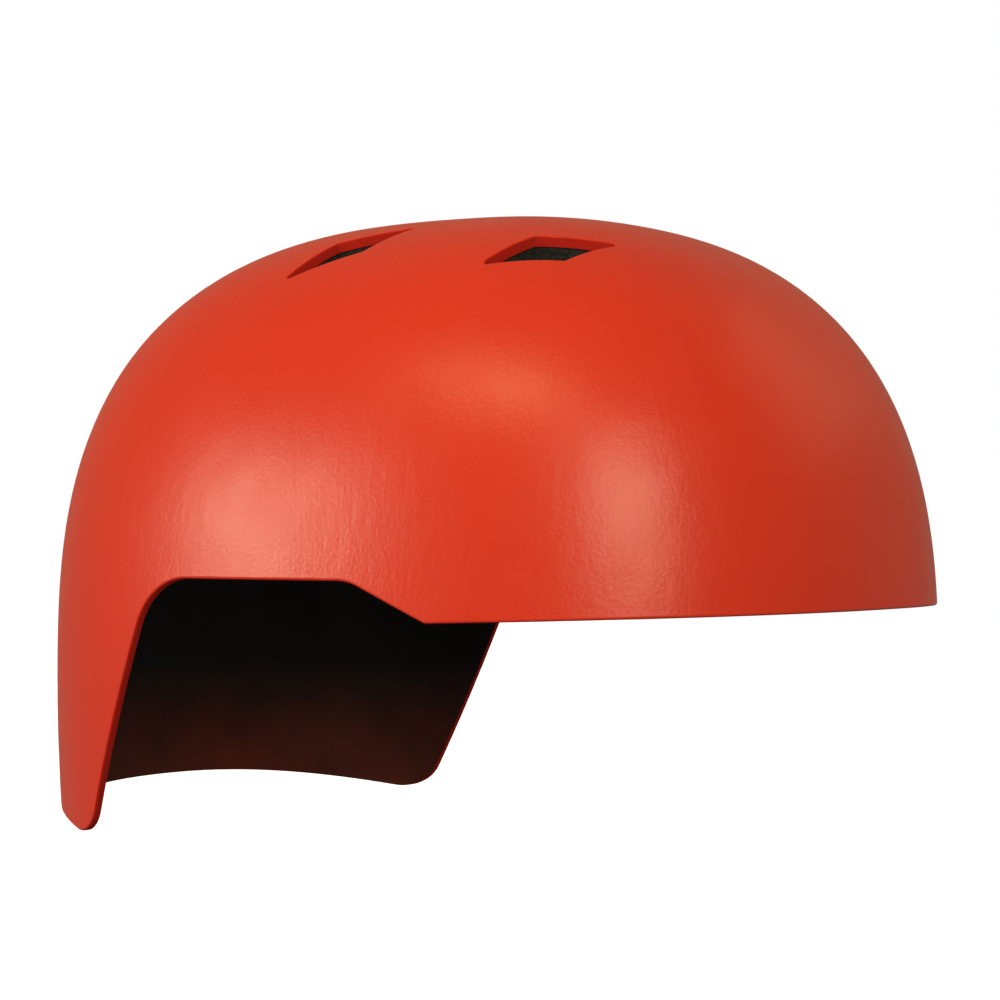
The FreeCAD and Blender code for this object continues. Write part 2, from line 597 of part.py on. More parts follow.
def make_case():
    """The rear case of the size adjuster, its cover, screws and click spring."""
    inner_back = "[arm_back] + [inner_gap]"
    inner_front = "[arm_back] - [arm_thick] - [inner_gap]"
    seam = inner_front + " - [case_wall] / 2"
    low, high = "[pivot_level] - [case_rise]", "[pivot_level] + [case_rise]"

    def plate(name, start, end):
        body = prism(name, "XZ_Plane", [[
            ("-[case_half]", low), ("[case_half]", low),
            ("[case_half]", high), ("-[case_half]", high)]], start, end)
        return round_edges(body, "[case_round]", runs_along("y"))

    shell = plate("case_block", seam, "[case_back]")
    cavity = block("case_cavity", ("-[case_half] - 1", "[case_half] + 1"),
                   (seam + " - 1", inner_back),
                   (low + " + [case_wall]", high + " - [case_wall]"))
    bearing = rod("case_bearing", "y", ("0", "[pivot_level]"), "[shaft_radius] + [run_clear]",
                  inner_back + " - 1", "[case_back] + 1")
    holes, screws, cover_holes = [], [], []
    cover_front = seam + " - [bond_gap] - [plate_thick]"
    for sign in ("", "-"):
        centre = (sign + "[screw_x]", "[pivot_level]")
        holes.append(rod("screw_hole", "y", centre, "[screw_radius] + [run_clear]",
                         inner_back + " - 1", "[case_back] - [hole_stop]"))
        cover_holes.append(rod("cover_hole", "y", centre, "[screw_radius] + [run_clear]",
                               cover_front + " - 1", seam + " + 1"))
        cover_holes.append(rod("cover_sink", "y", centre, "[screw_head] + [run_clear]",
                               cover_front + " - 1", cover_front + " + [screw_sink]"))
        head_front = cover_front + " + [bond_gap]"
        head = rod("screw_top", "y", centre, "[screw_head]", head_front,
                   head_front + " + [screw_head_thick]")
        stem = rod("screw_stem", "y", centre, "[screw_radius]",
                   head_front + " + [screw_head_thick] / 2", "[case_back] - [screw_stop]")
        screws.append(fuse("screw", head, stem))
    keep(cut("case", shell, cavity, bearing, *holes), "adjuster_housing")
    cover = plate("cover_block", cover_front, seam + " - [bond_gap]")
    keep(cut("cover", cover, *cover_holes), "adjuster_cover")
    keep(group("screws", *screws), "adjuster_screws")

    spring_front = "[case_back] + [spring_gap]"
    spring = prism("click_spring", "XZ_Plane", [[
        ("-[spring_half]", "[pivot_level] - [spring_far]"),
        ("[spring_half]", "[pivot_level] - [spring_far]"),
        ("[spring_half]", "[pivot_level] - [spring_near]"),
        ("-[spring_half]", "[pivot_level] - [spring_near]")]],
        spring_front, spring_front + " + [spring_thick]")
    keep(spring, "click_spring")

    pad = prism("nape_pad", "XZ_Plane", [[
        ("-[nape_pad_half]", "[pivot_level] - [band_rise]"),
        ("[nape_pad_half]", "[pivot_level] - [band_rise]"),
        ("[nape_pad_half]", "[pivot_level] + [band_rise]"),
        ("-[nape_pad_half]", "[pivot_level] + [band_rise]")]],
        cover_front + " - [nape_pad_thick]", cover_front + " - [soft_gap]")
    round_edges(pad, "[case_round]", runs_along("y"))
    keep(pad, "nape_pad")


def make_pinion():
    """The ten-tooth pinion on its shaft."""
    radius = size("tooth_size") * size("tooth_count") / 2
    base = radius * math.cos(math.radians(20))
    half = math.pi * size("tooth_size") * size("tooth_share") / 2 / radius

    def flank(at):
        """Half the tooth's angle at a radius, from the involute of the base circle."""
        tilt = math.acos(min(1.0, base / at))
        rest = math.radians(20)
        return half + (math.tan(rest) - rest) - (math.tan(tilt) - tilt)

    root = radius - size("tooth_size") * size("tooth_root")
    tip = radius + size("tooth_size") * size("tooth_tip")
    steps = [(root - 0.3, flank(base)), (base, flank(base)), ((base + tip) / 2,
             flank((base + tip) / 2)), (tip, flank(tip))]
    first = math.pi / 2 + math.pi / size("tooth_count")
    corners = [(r, first - a) for r, a in steps] + [(r, first + a) for r, a in reversed(steps)]
    body = DOC.addObject("PartDesign::Body", "pinion")
    start, end = "[arm_back] - [arm_thick]", "[arm_back]"
    hub_sketch = add_sketch(body, "pinion_root", "XZ_Plane", "-(%s)" % end)
    draw_circle(hub_sketch, ("0", "0"), "%.4f" % root)
    hub = body.newObject("PartDesign::Pad", "pinion_hub")
    hub.Profile = hub_sketch
    hub.setExpression("Length", cells("[arm_thick]"))
    tooth_sketch = add_sketch(body, "pinion_flanks", "XZ_Plane", "-(%s)" % end)
    draw_loop(tooth_sketch, [("%.4f" % (r * math.cos(a)), "%.4f" % (r * math.sin(a)))
                             for r, a in corners])
    tooth = body.newObject("PartDesign::Pad", "pinion_tooth")
    tooth.Profile = tooth_sketch
    tooth.setExpression("Length", cells("[arm_thick]"))
    DOC.recompute()
    ring = body.newObject("PartDesign::PolarPattern", "pinion_teeth")
    ring.Originals = [tooth]
    ring.Axis = (hub_sketch, ["N_Axis"])
    ring.Angle = 360
    ring.setExpression("Occurrences", cells("[tooth_count]"))
    body.Tip = ring
    body.setExpression("Placement.Base.z", cells("[pivot_level]"))
    DOC.recompute()
    shaft = rod("pinion_shaft", "y", ("0", "[pivot_level]"), "[shaft_radius]", start,
                "[case_back] + [knob_gap] + [knob_thick] / 2")
    keep(fuse("pinion", body, shaft), "drive_pinion")


def make_knob():
    """The scalloped knob behind the case."""
    start = "[case_back] + [knob_gap]"
    disc = rod("knob_disc", "y", ("0", "[pivot_level]"), "[knob_radius]", start,
               start + " + [knob_thick]")
    bore = rod("knob_bore", "y", ("0", "[pivot_level]"), "[shaft_radius] + [press_gap]", start + " - 1",
               start + " + [knob_thick] / 2 + [inner_gap]")
    grips = []
    for index in range(int(size("grip_count"))):
        angle = "%d * 360 / [grip_count]" % index
        spot = ("([knob_radius] + [grip_out]) * cos(%s)" % angle,
                "[pivot_level] + ([knob_radius] + [grip_out]) * sin(%s)" % angle)
        grips.append(rod("knob_grip%d" % index, "y", spot, "[grip_radius]", start + " - 1",
                         start + " + [knob_thick] + 1"))
    keep(cut("knob", disc, bore, fuse("knob_grips", *grips)), "adjuster_knob")


# ---------------------------------------------------------------- chin strap

def make_hanger():
    """A plate on the side pivot with a bar that the webbing loops round."""
    low, high = "[pivot_level] - [hanger_low]", "[bar_level] + [bar_radius]"
    x_low, x_high = "[web_x] - [hanger_thick] / 2", "[web_x] + [hanger_thick] / 2"
    side = "([web_half] + [hanger_side])"
    plate = prism("hanger_plate", "YZ_Plane", [[
        ("[pivot_y] - " + side, low), ("[pivot_y] + " + side, low),
        ("[pivot_y] + " + side, high), ("[pivot_y] - " + side, high)]], x_low, x_high)
    round_edges(plate, "[hanger_round]", runs_along("x", lambda p: p.z < size("pivot_level")))
    window = block("hanger_window", (x_low + " - 1", x_high + " + 1"),
                   ("[pivot_y] - [web_half] - [inner_gap]", "[pivot_y] + [web_half] + [inner_gap]"),
                   ("[bar_level] - [bar_radius] - [web_thick] - [hanger_room]", high + " + 1"))
    bar = rod("hanger_bar", "y", ("[web_x]", "[bar_level]"), "[bar_radius]",
              "[pivot_y] - " + side, "[pivot_y] + " + side)
    bore = rod("hanger_bore", "x", ("[pivot_y]", "[pivot_level]"), "[pin_radius] + [run_clear]",
               x_low + " - 1", x_high + " + 1")
    left = cut("hanger", fuse("hanger", cut("hanger_frame", plate, window), bar), bore)
    keep(left, "strap_hanger_left")
    keep(mirrored("hanger", left), "strap_hanger_right")


def bent_path(points, radius):
    """Straight runs joined by tangent arcs, as one wire in the XZ plane."""
    edges = []
    start = points[0]
    for before, corner, after in zip(points, points[1:], points[2:]):
        into, out = (corner - before).normalize(), (after - corner).normalize()
        turn = into.getAngle(out)
        trim = radius * math.tan(turn / 2)
        first, last = corner - into * trim, corner + out * trim
        middle = (out - into).normalize() * (radius / math.cos(turn / 2) - radius) + corner
        edges.append(Part.LineSegment(start, first).toShape())
        edges.append(Part.Arc(first, middle, last).toShape())
        start = last
    edges.append(Part.LineSegment(start, points[-1]).toShape())
    return Part.Wire(edges)


def make_webbing(name, side, inner_end):
    """One half of the strap: a loop round the hanger's bar, then up the bowl to the buckle."""
    thick, half, bar = size("web_thick"), size("web_half"), size("bar_level")
    inner = size("bar_radius") + size("bond_gap")
    x, y = side * size("web_x"), size("pivot_y") - half
    corners = [(x, bar + inner + thick / 2), (x, size("knee_level")),
               (side * size("shoulder_x"), size("shoulder_level")),
               (side * size("top_x"), size("top_level")), (inner_end, size("top_level"))]
    path = bent_path([VECTOR(a, y, b) for a, b in corners], size("web_bend"))
    ribbon = path.makeOffset2D(side * thick / 2, 0, True, True)
    ribbon = ribbon.fuse(path.makeOffset2D(-side * thick / 2, 0, True, True))
    run = ribbon.extrude(VECTOR(0, 2 * half, 0))
    loop = Part.makeCylinder(inner + thick, 2 * half, VECTOR(x, y, bar), AXES["y"])
    core = Part.makeCylinder(inner, 2 * half, VECTOR(x, y, bar), AXES["y"])
    feature = DOC.addObject("Part::Feature", "webbing_" + name)
    feature.Shape = run.fuse(loop).cut(core).removeSplitter()
    feature.Placement = FreeCAD.Placement()
    keep(feature, "strap_web_" + name)


def slab(name, x_span, half_width, z_span):
    """A box centred on the strap's middle line."""
    return block(name, x_span, ("[pivot_y] - (%s)" % half_width, "[pivot_y] + (%s)" % half_width),
                 z_span)


def make_buckle():
    """The two halves of the side-release buckle and the keeper for the strap's tail."""
    high = "[top_level] + [buckle_above]"
    low = high + " - [buckle_thick]"
    slot = ("[top_level] - [web_thick] / 2 - [web_gap]", "[top_level] + [web_thick] / 2 + [web_gap]")
    prong = (slot[0] + " - [prong_thick]", slot[0])
    room = (prong[0] + " - [inner_gap]", prong[1] + " + [inner_gap]")
    tunnel_half = "[web_half] + [web_gap]"

    case = prism("socket_case", "XY_Plane", [[
        ("-[socket_back]", "[pivot_y] - [buckle_half]"),
        ("[socket_mouth]", "[pivot_y] - [buckle_half]"),
        ("[socket_mouth]", "[pivot_y] + [buckle_half]"),
        ("-[socket_back]", "[pivot_y] + [buckle_half]")]], low, high)
    round_edges(case, "[buckle_round]", runs_along("z", lambda p: p.x < 0))
    cavity = slab("socket_cavity", ("[socket_mouth] - [prong_reach]", "[socket_mouth] + 1"),
                  "[buckle_half] - [buckle_wall]", room)
    window = slab("socket_window",
                  ("[socket_mouth] - [window_far]", "[socket_mouth] - [window_near]"),
                  "[buckle_half] + 1", room)
    tail = slab("socket_tail", ("-[socket_back] - 1", "-[socket_back] + [socket_tail]"),
                tunnel_half, slot)
    keep(cut("socket", case, cavity, window, tail), "buckle_socket")

    base = prism("plug_base", "XY_Plane", [[
        ("[socket_mouth] + [inner_gap]", "[pivot_y] - [buckle_half]"),
        ("[plug_back]", "[pivot_y] - [buckle_half]"),
        ("[plug_back]", "[pivot_y] + [buckle_half]"),
        ("[socket_mouth] + [inner_gap]", "[pivot_y] + [buckle_half]")]], low, high)
    round_edges(base, "[buckle_round]", runs_along("z", lambda p: p.x > size("plug_back") - 1))
    tunnel = slab("plug_tunnel", ("[socket_mouth] - 1", "[plug_back] + 1"), tunnel_half, slot)
    prongs = []
    for sign in (1, -1):
        inner, outer = ("[pivot_y] + %d * ([buckle_half] - [prong_%s])" % (sign, edge)
                        for edge in ("inner", "outer"))
        prongs.append(block("prong", ("[socket_mouth] - [prong_reach] + [inner_gap]",
                                      "[socket_mouth] + 1"),
                            (inner, outer) if sign > 0 else (outer, inner), prong))
    keep(fuse("plug", cut("plug_body", base, tunnel), *prongs), "buckle_plug")

    reach = "[keeper_gap] + [keeper_wall]"
    band = slab("keeper_band", ("-[keeper_x] - [keeper_half]", "-[keeper_x] + [keeper_half]"),
                "[web_half] + [keeper_side]",
                ("[top_level] - (%s)" % reach, "[top_level] + %s" % reach))
    hole = slab("keeper_hole",
                ("-[keeper_x] - [keeper_half] - 1", "-[keeper_x] + [keeper_half] + 1"),
                tunnel_half, ("[top_level] - [keeper_gap]", "[top_level] + [keeper_gap]"))
    keep(cut("keeper", band, hole), "strap_keeper")


# ---------------------------------------------------------------- build and write

def check_and_write():
    """Stops on any failed object or shape; otherwise writes one STEP file per sub-part."""
    DOC.recompute()
    failed = [item.Name for item in DOC.Objects
              if "Invalid" in item.State or "Error" in item.State]
    if failed:
        raise RuntimeError("failed objects: " + ", ".join(failed))
    for label, obj in PARTS.items():
        if obj.Shape.isNull() or not obj.Shape.isValid() or not obj.Shape.Solids:
            raise RuntimeError("bad shape: " + label)
    os.makedirs("parts", exist_ok=True)
    for label, obj in PARTS.items():
        obj.Shape.exportStep("parts/%s.step" % label)
        print("%-20s %2d solids %10.1f mm3" % (label, len(obj.Shape.Solids), obj.Shape.Volume))


def main():
    vents = make_vent_cutter()
    make_outer_shell(vents)
    make_foam(vents)
    make_anchors()
    make_pins()
    make_headband()
    make_arm("arm_left", 1)
    make_arm("arm_right", -1)
    make_case()
    make_pinion()
    make_knob()
    make_hanger()
    make_webbing("left", 1, size("web_left_end"))
    make_webbing("right", -1, size("web_right_end"))
    make_buckle()
    check_and_write()


main()
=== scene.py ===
"""Climbing helmet: looks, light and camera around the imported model.

The file is an add-on in form. Its operators repaint the shell, make the soft parts and set the
stage; main() calls them in order.
"""
import math

import bpy
from mathutils import Matrix, Vector


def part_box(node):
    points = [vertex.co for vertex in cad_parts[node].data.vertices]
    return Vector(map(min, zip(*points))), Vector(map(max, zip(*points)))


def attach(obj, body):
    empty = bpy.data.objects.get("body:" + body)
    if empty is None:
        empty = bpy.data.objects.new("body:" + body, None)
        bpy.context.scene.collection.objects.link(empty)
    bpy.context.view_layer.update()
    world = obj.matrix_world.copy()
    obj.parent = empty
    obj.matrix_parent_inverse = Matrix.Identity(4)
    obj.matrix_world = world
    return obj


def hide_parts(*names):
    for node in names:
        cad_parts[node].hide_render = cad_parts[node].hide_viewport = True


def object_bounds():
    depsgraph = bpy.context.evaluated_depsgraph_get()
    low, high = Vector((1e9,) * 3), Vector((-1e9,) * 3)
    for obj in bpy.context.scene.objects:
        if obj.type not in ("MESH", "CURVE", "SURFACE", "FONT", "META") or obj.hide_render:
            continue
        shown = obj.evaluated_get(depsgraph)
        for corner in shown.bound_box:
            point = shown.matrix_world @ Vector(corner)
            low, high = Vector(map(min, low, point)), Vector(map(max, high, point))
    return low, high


bl_info = {
    "name": "Climbing helmet looks",
    "version": (1, 0, 0),
    "blender": (4, 5, 0),
    "location": "3D View > Sidebar > Helmet",
    "description": "Paint, foam, fabric, webbing, light and camera for a climbing helmet",
    "category": "Object",
}

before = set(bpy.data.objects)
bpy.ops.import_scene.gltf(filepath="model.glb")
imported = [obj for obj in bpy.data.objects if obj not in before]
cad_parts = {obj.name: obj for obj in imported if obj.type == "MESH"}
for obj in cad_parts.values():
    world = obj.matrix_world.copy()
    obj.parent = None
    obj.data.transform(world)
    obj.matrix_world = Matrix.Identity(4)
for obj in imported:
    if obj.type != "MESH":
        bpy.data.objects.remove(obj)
CAD_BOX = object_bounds()


# ---------------------------------------------------------------- settings

def colour(name, description, default):
    """A colour property."""
    return bpy.props.FloatVectorProperty(
        name=name, description=description, default=default, size=3, min=0.0, max=1.0,
        subtype="COLOR")


def length(name, description, default):
    """A length property, in metres."""
    return bpy.props.FloatProperty(
        name=name, description=description, default=default, subtype="DISTANCE", unit="LENGTH")


def share(name, description, default):
    """A property from 0 to 1."""
    return bpy.props.FloatProperty(
        name=name, description=description, default=default, min=0.0, max=1.0, subtype="FACTOR")


def angle(name, description, degrees):
    """An angle property, given here in degrees."""
    return bpy.props.FloatProperty(
        name=name, description=description, default=math.radians(degrees), subtype="ANGLE",
        unit="ROTATION")


def count(name, description, default):
    """How many repeats of a pattern fit in a metre."""
    return bpy.props.FloatProperty(
        name=name, description=description, default=default, min=1.0, max=9000.0)


class HelmetPaint(bpy.types.PropertyGroup):
    """The shell's paint"""

    outside: colour("Outside", "Paint on the outside of the shell", (0.73, 0.033, 0.008))
    # the cut edge is the same paint as the outside; its darker colour is painted shade
    edge: colour("Cut edge", "Paint on the vents' walls and the rim", (0.42, 0.018, 0.012))
    inside: colour("Inside", "Dark paint on the inside of the bowl", (0.0045, 0.0030, 0.0026))
    # a lighter, redder colour low inside the bowl: painted glow of light coming in near the rim
    painted_rim_glow: colour("Inside near the rim", "Glow low inside the nape",
                       (0.20, 0.020, 0.0060))
    roughness: share("Roughness", "Roughness of the painted surface", 0.34)
    peel: length("Orange peel", "Depth of the paint's fine ripple", 0.00007)
    peel_count: count("Ripple count", "Ripples of the paint in a metre", 780.0)


class HelmetTrim(bpy.types.PropertyGroup):
    """Colours of everything inside the shell"""

    foam: colour("Foam", "Beads of the foam cap", (0.078, 0.076, 0.076))
    bead_count: count("Bead count", "Foam beads in a metre", 300.0)
    fabric: colour("Pad fabric", "Looped cloth of the pads", (0.120, 0.122, 0.135))
    loop_count: count("Loop count", "Loops of the pad fabric in a metre", 950.0)
    thread: colour("Thread", "Stitching of the pads and the strap", (0.28, 0.28, 0.30))
    webbing: colour("Webbing", "Woven strap", (0.095, 0.097, 0.108))
    plastic: colour("Moulded plastic", "Headband, arms and adjuster", (0.078, 0.079, 0.085))
    buckle: colour("Buckle plastic", "Buckle, keeper and hangers", (0.055, 0.055, 0.059))
    knob: colour("Knob rubber", "Grip of the adjuster's knob", (0.120, 0.120, 0.127))
    gear: colour("Gear plastic", "Pinion and its shaft", (0.30, 0.30, 0.29))
    steel: colour("Steel", "Pins, screws and the click spring", (0.52, 0.52, 0.53))


class HelmetPads(bpy.types.PropertyGroup):
    """How the padded pieces are made"""

    voxel: length("Mesh size", "Size of a pad's mesh before it is divided", 0.0016)
    shrink: length("Draw in", "How far a pad is drawn in before it swells", 0.0007)
    swell: length("Swell", "How far a point of a pad may move as it swells", 0.0012)
    hem: length("Hem", "Width of the pressed border round a pad", 0.0042)
    pinch: length("Pinch", "How far the border is pressed down", 0.0022)
    groove: length("Seam width", "Half width of a sewn groove", 0.0013)
    groove_depth: length("Seam depth", "Depth of a sewn groove", 0.0009)
    stitch: length("Stitch", "Length of one stitch", 0.0024)
    stitch_gap: length("Stitch spacing", "From the start of one stitch to the next", 0.0034)
    thread: length("Thread", "Thickness of the thread", 0.00050)
    crown_round: length("Crown pad corner", "Corner radius of a crown pad", 0.009)
    nape_round: length("Nape pad corner", "Corner radius of the nape pad", 0.006)
    brow_bend: length("Brow bend", "Outer radius of the brow pad's turns", 0.0565)
    channel: length("Channels", "Spacing of the brow pad's sewn channels", 0.025)


class HelmetStrap(bpy.types.PropertyGroup):
    """The chin strap's webbing"""

    thick: length("Thickness", "Thickness of the webbing", 0.0012)
    knee: length("Knee", "Level where the strap leaves the side of the bowl", 0.046)
    shoulder_out: length("Shoulder", "Distance of the strap's shoulder from the middle", 0.066)
    shoulder: length("Shoulder level", "Level of the strap's shoulder", 0.071)
    crest_out: length("Crest", "Distance of the strap's highest bend from the middle", 0.044)
    crest: length("Crest level", "Level of the folded strap under the crown", 0.087)
    bend: length("Bend", "Radius of the strap's bends", 0.012)
    spacing: length("Mesh spacing", "Spacing of the mesh along the webbing", 0.0016)
    loop: length("Loop", "Radius of the loop round the hanger's bar", 0.0023)
    neck: length("Neck", "Where the two layers meet above the bar", 0.005)
    lap: length("Lap", "Length of the sewn lap above the hanger", 0.024)
    lap_gap: length("Lap gap", "Gap between the two layers of the lap", 0.00015)
    crown: length("Crown", "Bulge of the webbing between its edges", 0.00015)
    stitch_inset: length("Stitch inset", "From the lap's edges to its stitched box", 0.003)


class HelmetStage(bpy.types.PropertyGroup):
    """Camera and floor"""

    azimuth: angle("Azimuth", "Where the camera stands, from the front", -57.162)
    distance: length("Distance", "Camera to the helmet's axis, along the ground", 0.8797)
    height: length("Height", "Camera above the brim", 0.0305)
    yaw: angle("Yaw", "Camera's turn from the helmet's axis", 0.032)
    pitch: angle("Pitch", "Camera's tilt above level", 0.374)
    lens: bpy.props.FloatProperty(
        name="Lens", description="Focal length on a 36 mm sensor, in millimetres",
        default=100.36, min=10.0)
    floor_drop: length("Floor drop", "Floor below the helmet's lowest point", 1.2)
    floor_size: length("Floor size", "Side of the floor's square", 60.0)
    surround: share("Surround", "Brightness of the room around the helmet", 0.33)


# name, azimuth and elevation in degrees, distance, width, height, radiance, colour
LIGHTS = (
    ("tall_box", -131.0, 11.0, 1.6, 0.40, 0.56, 11.2, (1.0, 0.92, 0.70)),
    ("wide_box", -50.0, 19.0, 1.6, 0.72, 0.80, 5.7, (1.0, 0.98, 0.70)),
    ("arch_box", -93.0, 45.0, 1.5, 0.85, 0.18, 8.2, (1.0, 0.78, 0.38)),
    ("face_box", 50.0, 36.0, 1.8, 1.20, 1.00, 0.45, (1.0, 0.85, 0.50)),
)
ROOM_ABOVE, ROOM_BELOW = (1.0, 0.76, 0.52), (0.72, 0.68, 0.62)
WHITE = (1.0, 1.0, 1.0, 1.0)
HORIZON = (-0.25, 0.15)    # where the room below gives way to the room above


# ---------------------------------------------------------------- node helpers

def new_material(name):
    """A node material with its shader ready; gives the material, its nodes, links and shader."""
    material = bpy.data.materials.new(name)
    material.use_nodes = True
    nodes, links = material.node_tree.nodes, material.node_tree.links
    return material, nodes, links, nodes["Principled BSDF"]


def scaled(base, factor):
    """A colour made lighter or darker."""
    return tuple(min(1.0, channel * factor) for channel in base)


def math_node(nodes, links, operation, first, second=None):
    """A maths node of one or two links or numbers; gives its output."""
    node = nodes.new("ShaderNodeMath")
    node.operation = operation
    for socket, value in zip(node.inputs, (first, second)):
        if isinstance(value, (int, float)):
            socket.default_value = value
        elif value is not None:
            links.new(value, socket)
    return node.outputs[0]


def map_range(nodes, links, value, low, high, out_low=0.0, out_high=1.0):
    """A clamped linear map; gives its output."""
    node = nodes.new("ShaderNodeMapRange")
    links.new(value, node.inputs["Value"])
    for name, number in (("From Min", low), ("From Max", high), ("To Min", out_low),
                         ("To Max", out_high)):
        node.inputs[name].default_value = number
    return node.outputs["Result"]


def mix_colour(nodes, links, factor, first, second):
    """Mixes two colours, each a link or a tuple, by a linked factor; gives the colour output."""
    node = nodes.new("ShaderNodeMix")
    node.data_type = "RGBA"
    for index, value in ((0, factor), (6, first), (7, second)):
        if isinstance(value, tuple):
            node.inputs[index].default_value = (*value, 1.0)
        else:
            links.new(value, node.inputs[index])
    return node.outputs[2]


def texture(nodes, links, kind, vector, output, **numbers):
    """A procedural texture's output, with its number sockets set by name."""
    node = nodes.new("ShaderNodeTex" + kind)
    for name, value in numbers.items():
        if name == "feature":
            node.feature = value
        else:
            node.inputs[name].default_value = value
    links.new(vector, node.inputs["Vector"])
    return node.outputs[output]


def noise(nodes, links, vector, scale, detail=2.0, roughness=0.5):
    """A noise texture's factor."""
    return texture(nodes, links, "Noise", vector, "Fac", Scale=scale, Detail=detail,
                   Roughness=roughness)


def stretched(nodes, links, vector, factors):
    """Coordinates stretched along each axis."""
    node = nodes.new("ShaderNodeVectorMath")
    node.operation = "MULTIPLY"
    links.new(vector, node.inputs[0])
    node.inputs[1].default_value = factors
    return node.outputs[0]


def bump(nodes, links, shader, height, distance, below=None):
    """A bump over any earlier one, fed to the shader's normal; gives the bump's output."""
    node = nodes.new("ShaderNodeBump")
    node.inputs["Strength"].default_value = 1.0
    node.inputs["Distance"].default_value = distance
    links.new(height, node.inputs["Height"])
    if below is not None:
        links.new(below, node.inputs["Normal"])
    links.new(node.outputs["Normal"], shader.inputs["Normal"])
    return node.outputs["Normal"]


def object_place(nodes):
    """Coordinates fixed to the piece, in metres."""
    return nodes.new("ShaderNodeTexCoord").outputs["Object"]


def paint_nodes(material, *names):
    """Gives carried-over solids their material."""
    for name in names:
        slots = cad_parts[name].data.materials
        slots.clear()
        slots.append(material)


# ---------------------------------------------------------------- materials

# the dome that the shell is drawn as: its half width, reach, level and rise in metres, and powers
SHELL_HALF, SHELL_FRONT, SHELL_REAR = 0.1071, 0.135, 0.145
WIDEST_LEVEL, SHELL_RISE = -0.017, 0.141
PLAN_POWER, PROFILE_POWER = 2.58, 2.7

# how squarely a face looks outwards where one surface gives way to the next; these bound the
# painted shade on the shell's cut edges and on the foam away from the wearer
WALL_TO_OUTSIDE, INSIDE_TO_WALL, BEADS_TO_SHADE = (0.66, 0.82), (-0.80, -0.66), (-0.75, -0.45)


def facing(nodes, links, place):
    """How squarely a face of the shell looks outwards: 1 outside, 0 on a cut edge, -1 inside."""
    split = nodes.new("ShaderNodeSeparateXYZ")
    links.new(place, split.inputs[0])
    across, along, level = split.outputs

    def slope(value, reach, power):
        """One coordinate of the dome's outward direction, before its length is made 1."""
        part = math_node(nodes, links, "DIVIDE", value, reach)
        steep = math_node(nodes, links, "POWER",
                          math_node(nodes, links, "ABSOLUTE", part), power - 1.0)
        signed = math_node(nodes, links, "MULTIPLY",
                           math_node(nodes, links, "SIGN", part), steep)
        return math_node(nodes, links, "DIVIDE", signed, reach)

    behind = math_node(nodes, links, "GREATER_THAN", along, 0.0)
    length_here = math_node(nodes, links, "ADD", SHELL_FRONT, math_node(
        nodes, links, "MULTIPLY", behind, SHELL_REAR - SHELL_FRONT))
    above = math_node(nodes, links, "MAXIMUM",
                      math_node(nodes, links, "SUBTRACT", level, WIDEST_LEVEL), 0.0)
    outward = nodes.new("ShaderNodeCombineXYZ")
    for value, socket in zip((slope(across, SHELL_HALF, PLAN_POWER),
                              slope(along, length_here, PLAN_POWER),
                              slope(above, SHELL_RISE, PROFILE_POWER)), outward.inputs):
        links.new(value, socket)
    unit = nodes.new("ShaderNodeVectorMath")
    unit.operation = "NORMALIZE"
    links.new(outward.outputs[0], unit.inputs[0])
    dot = nodes.new("ShaderNodeVectorMath")
    dot.operation = "DOT_PRODUCT"
    links.new(unit.outputs[0], dot.inputs[0])
    links.new(nodes.new("ShaderNodeTexCoord").outputs["Normal"], dot.inputs[1])
    return dot.outputs["Value"], level


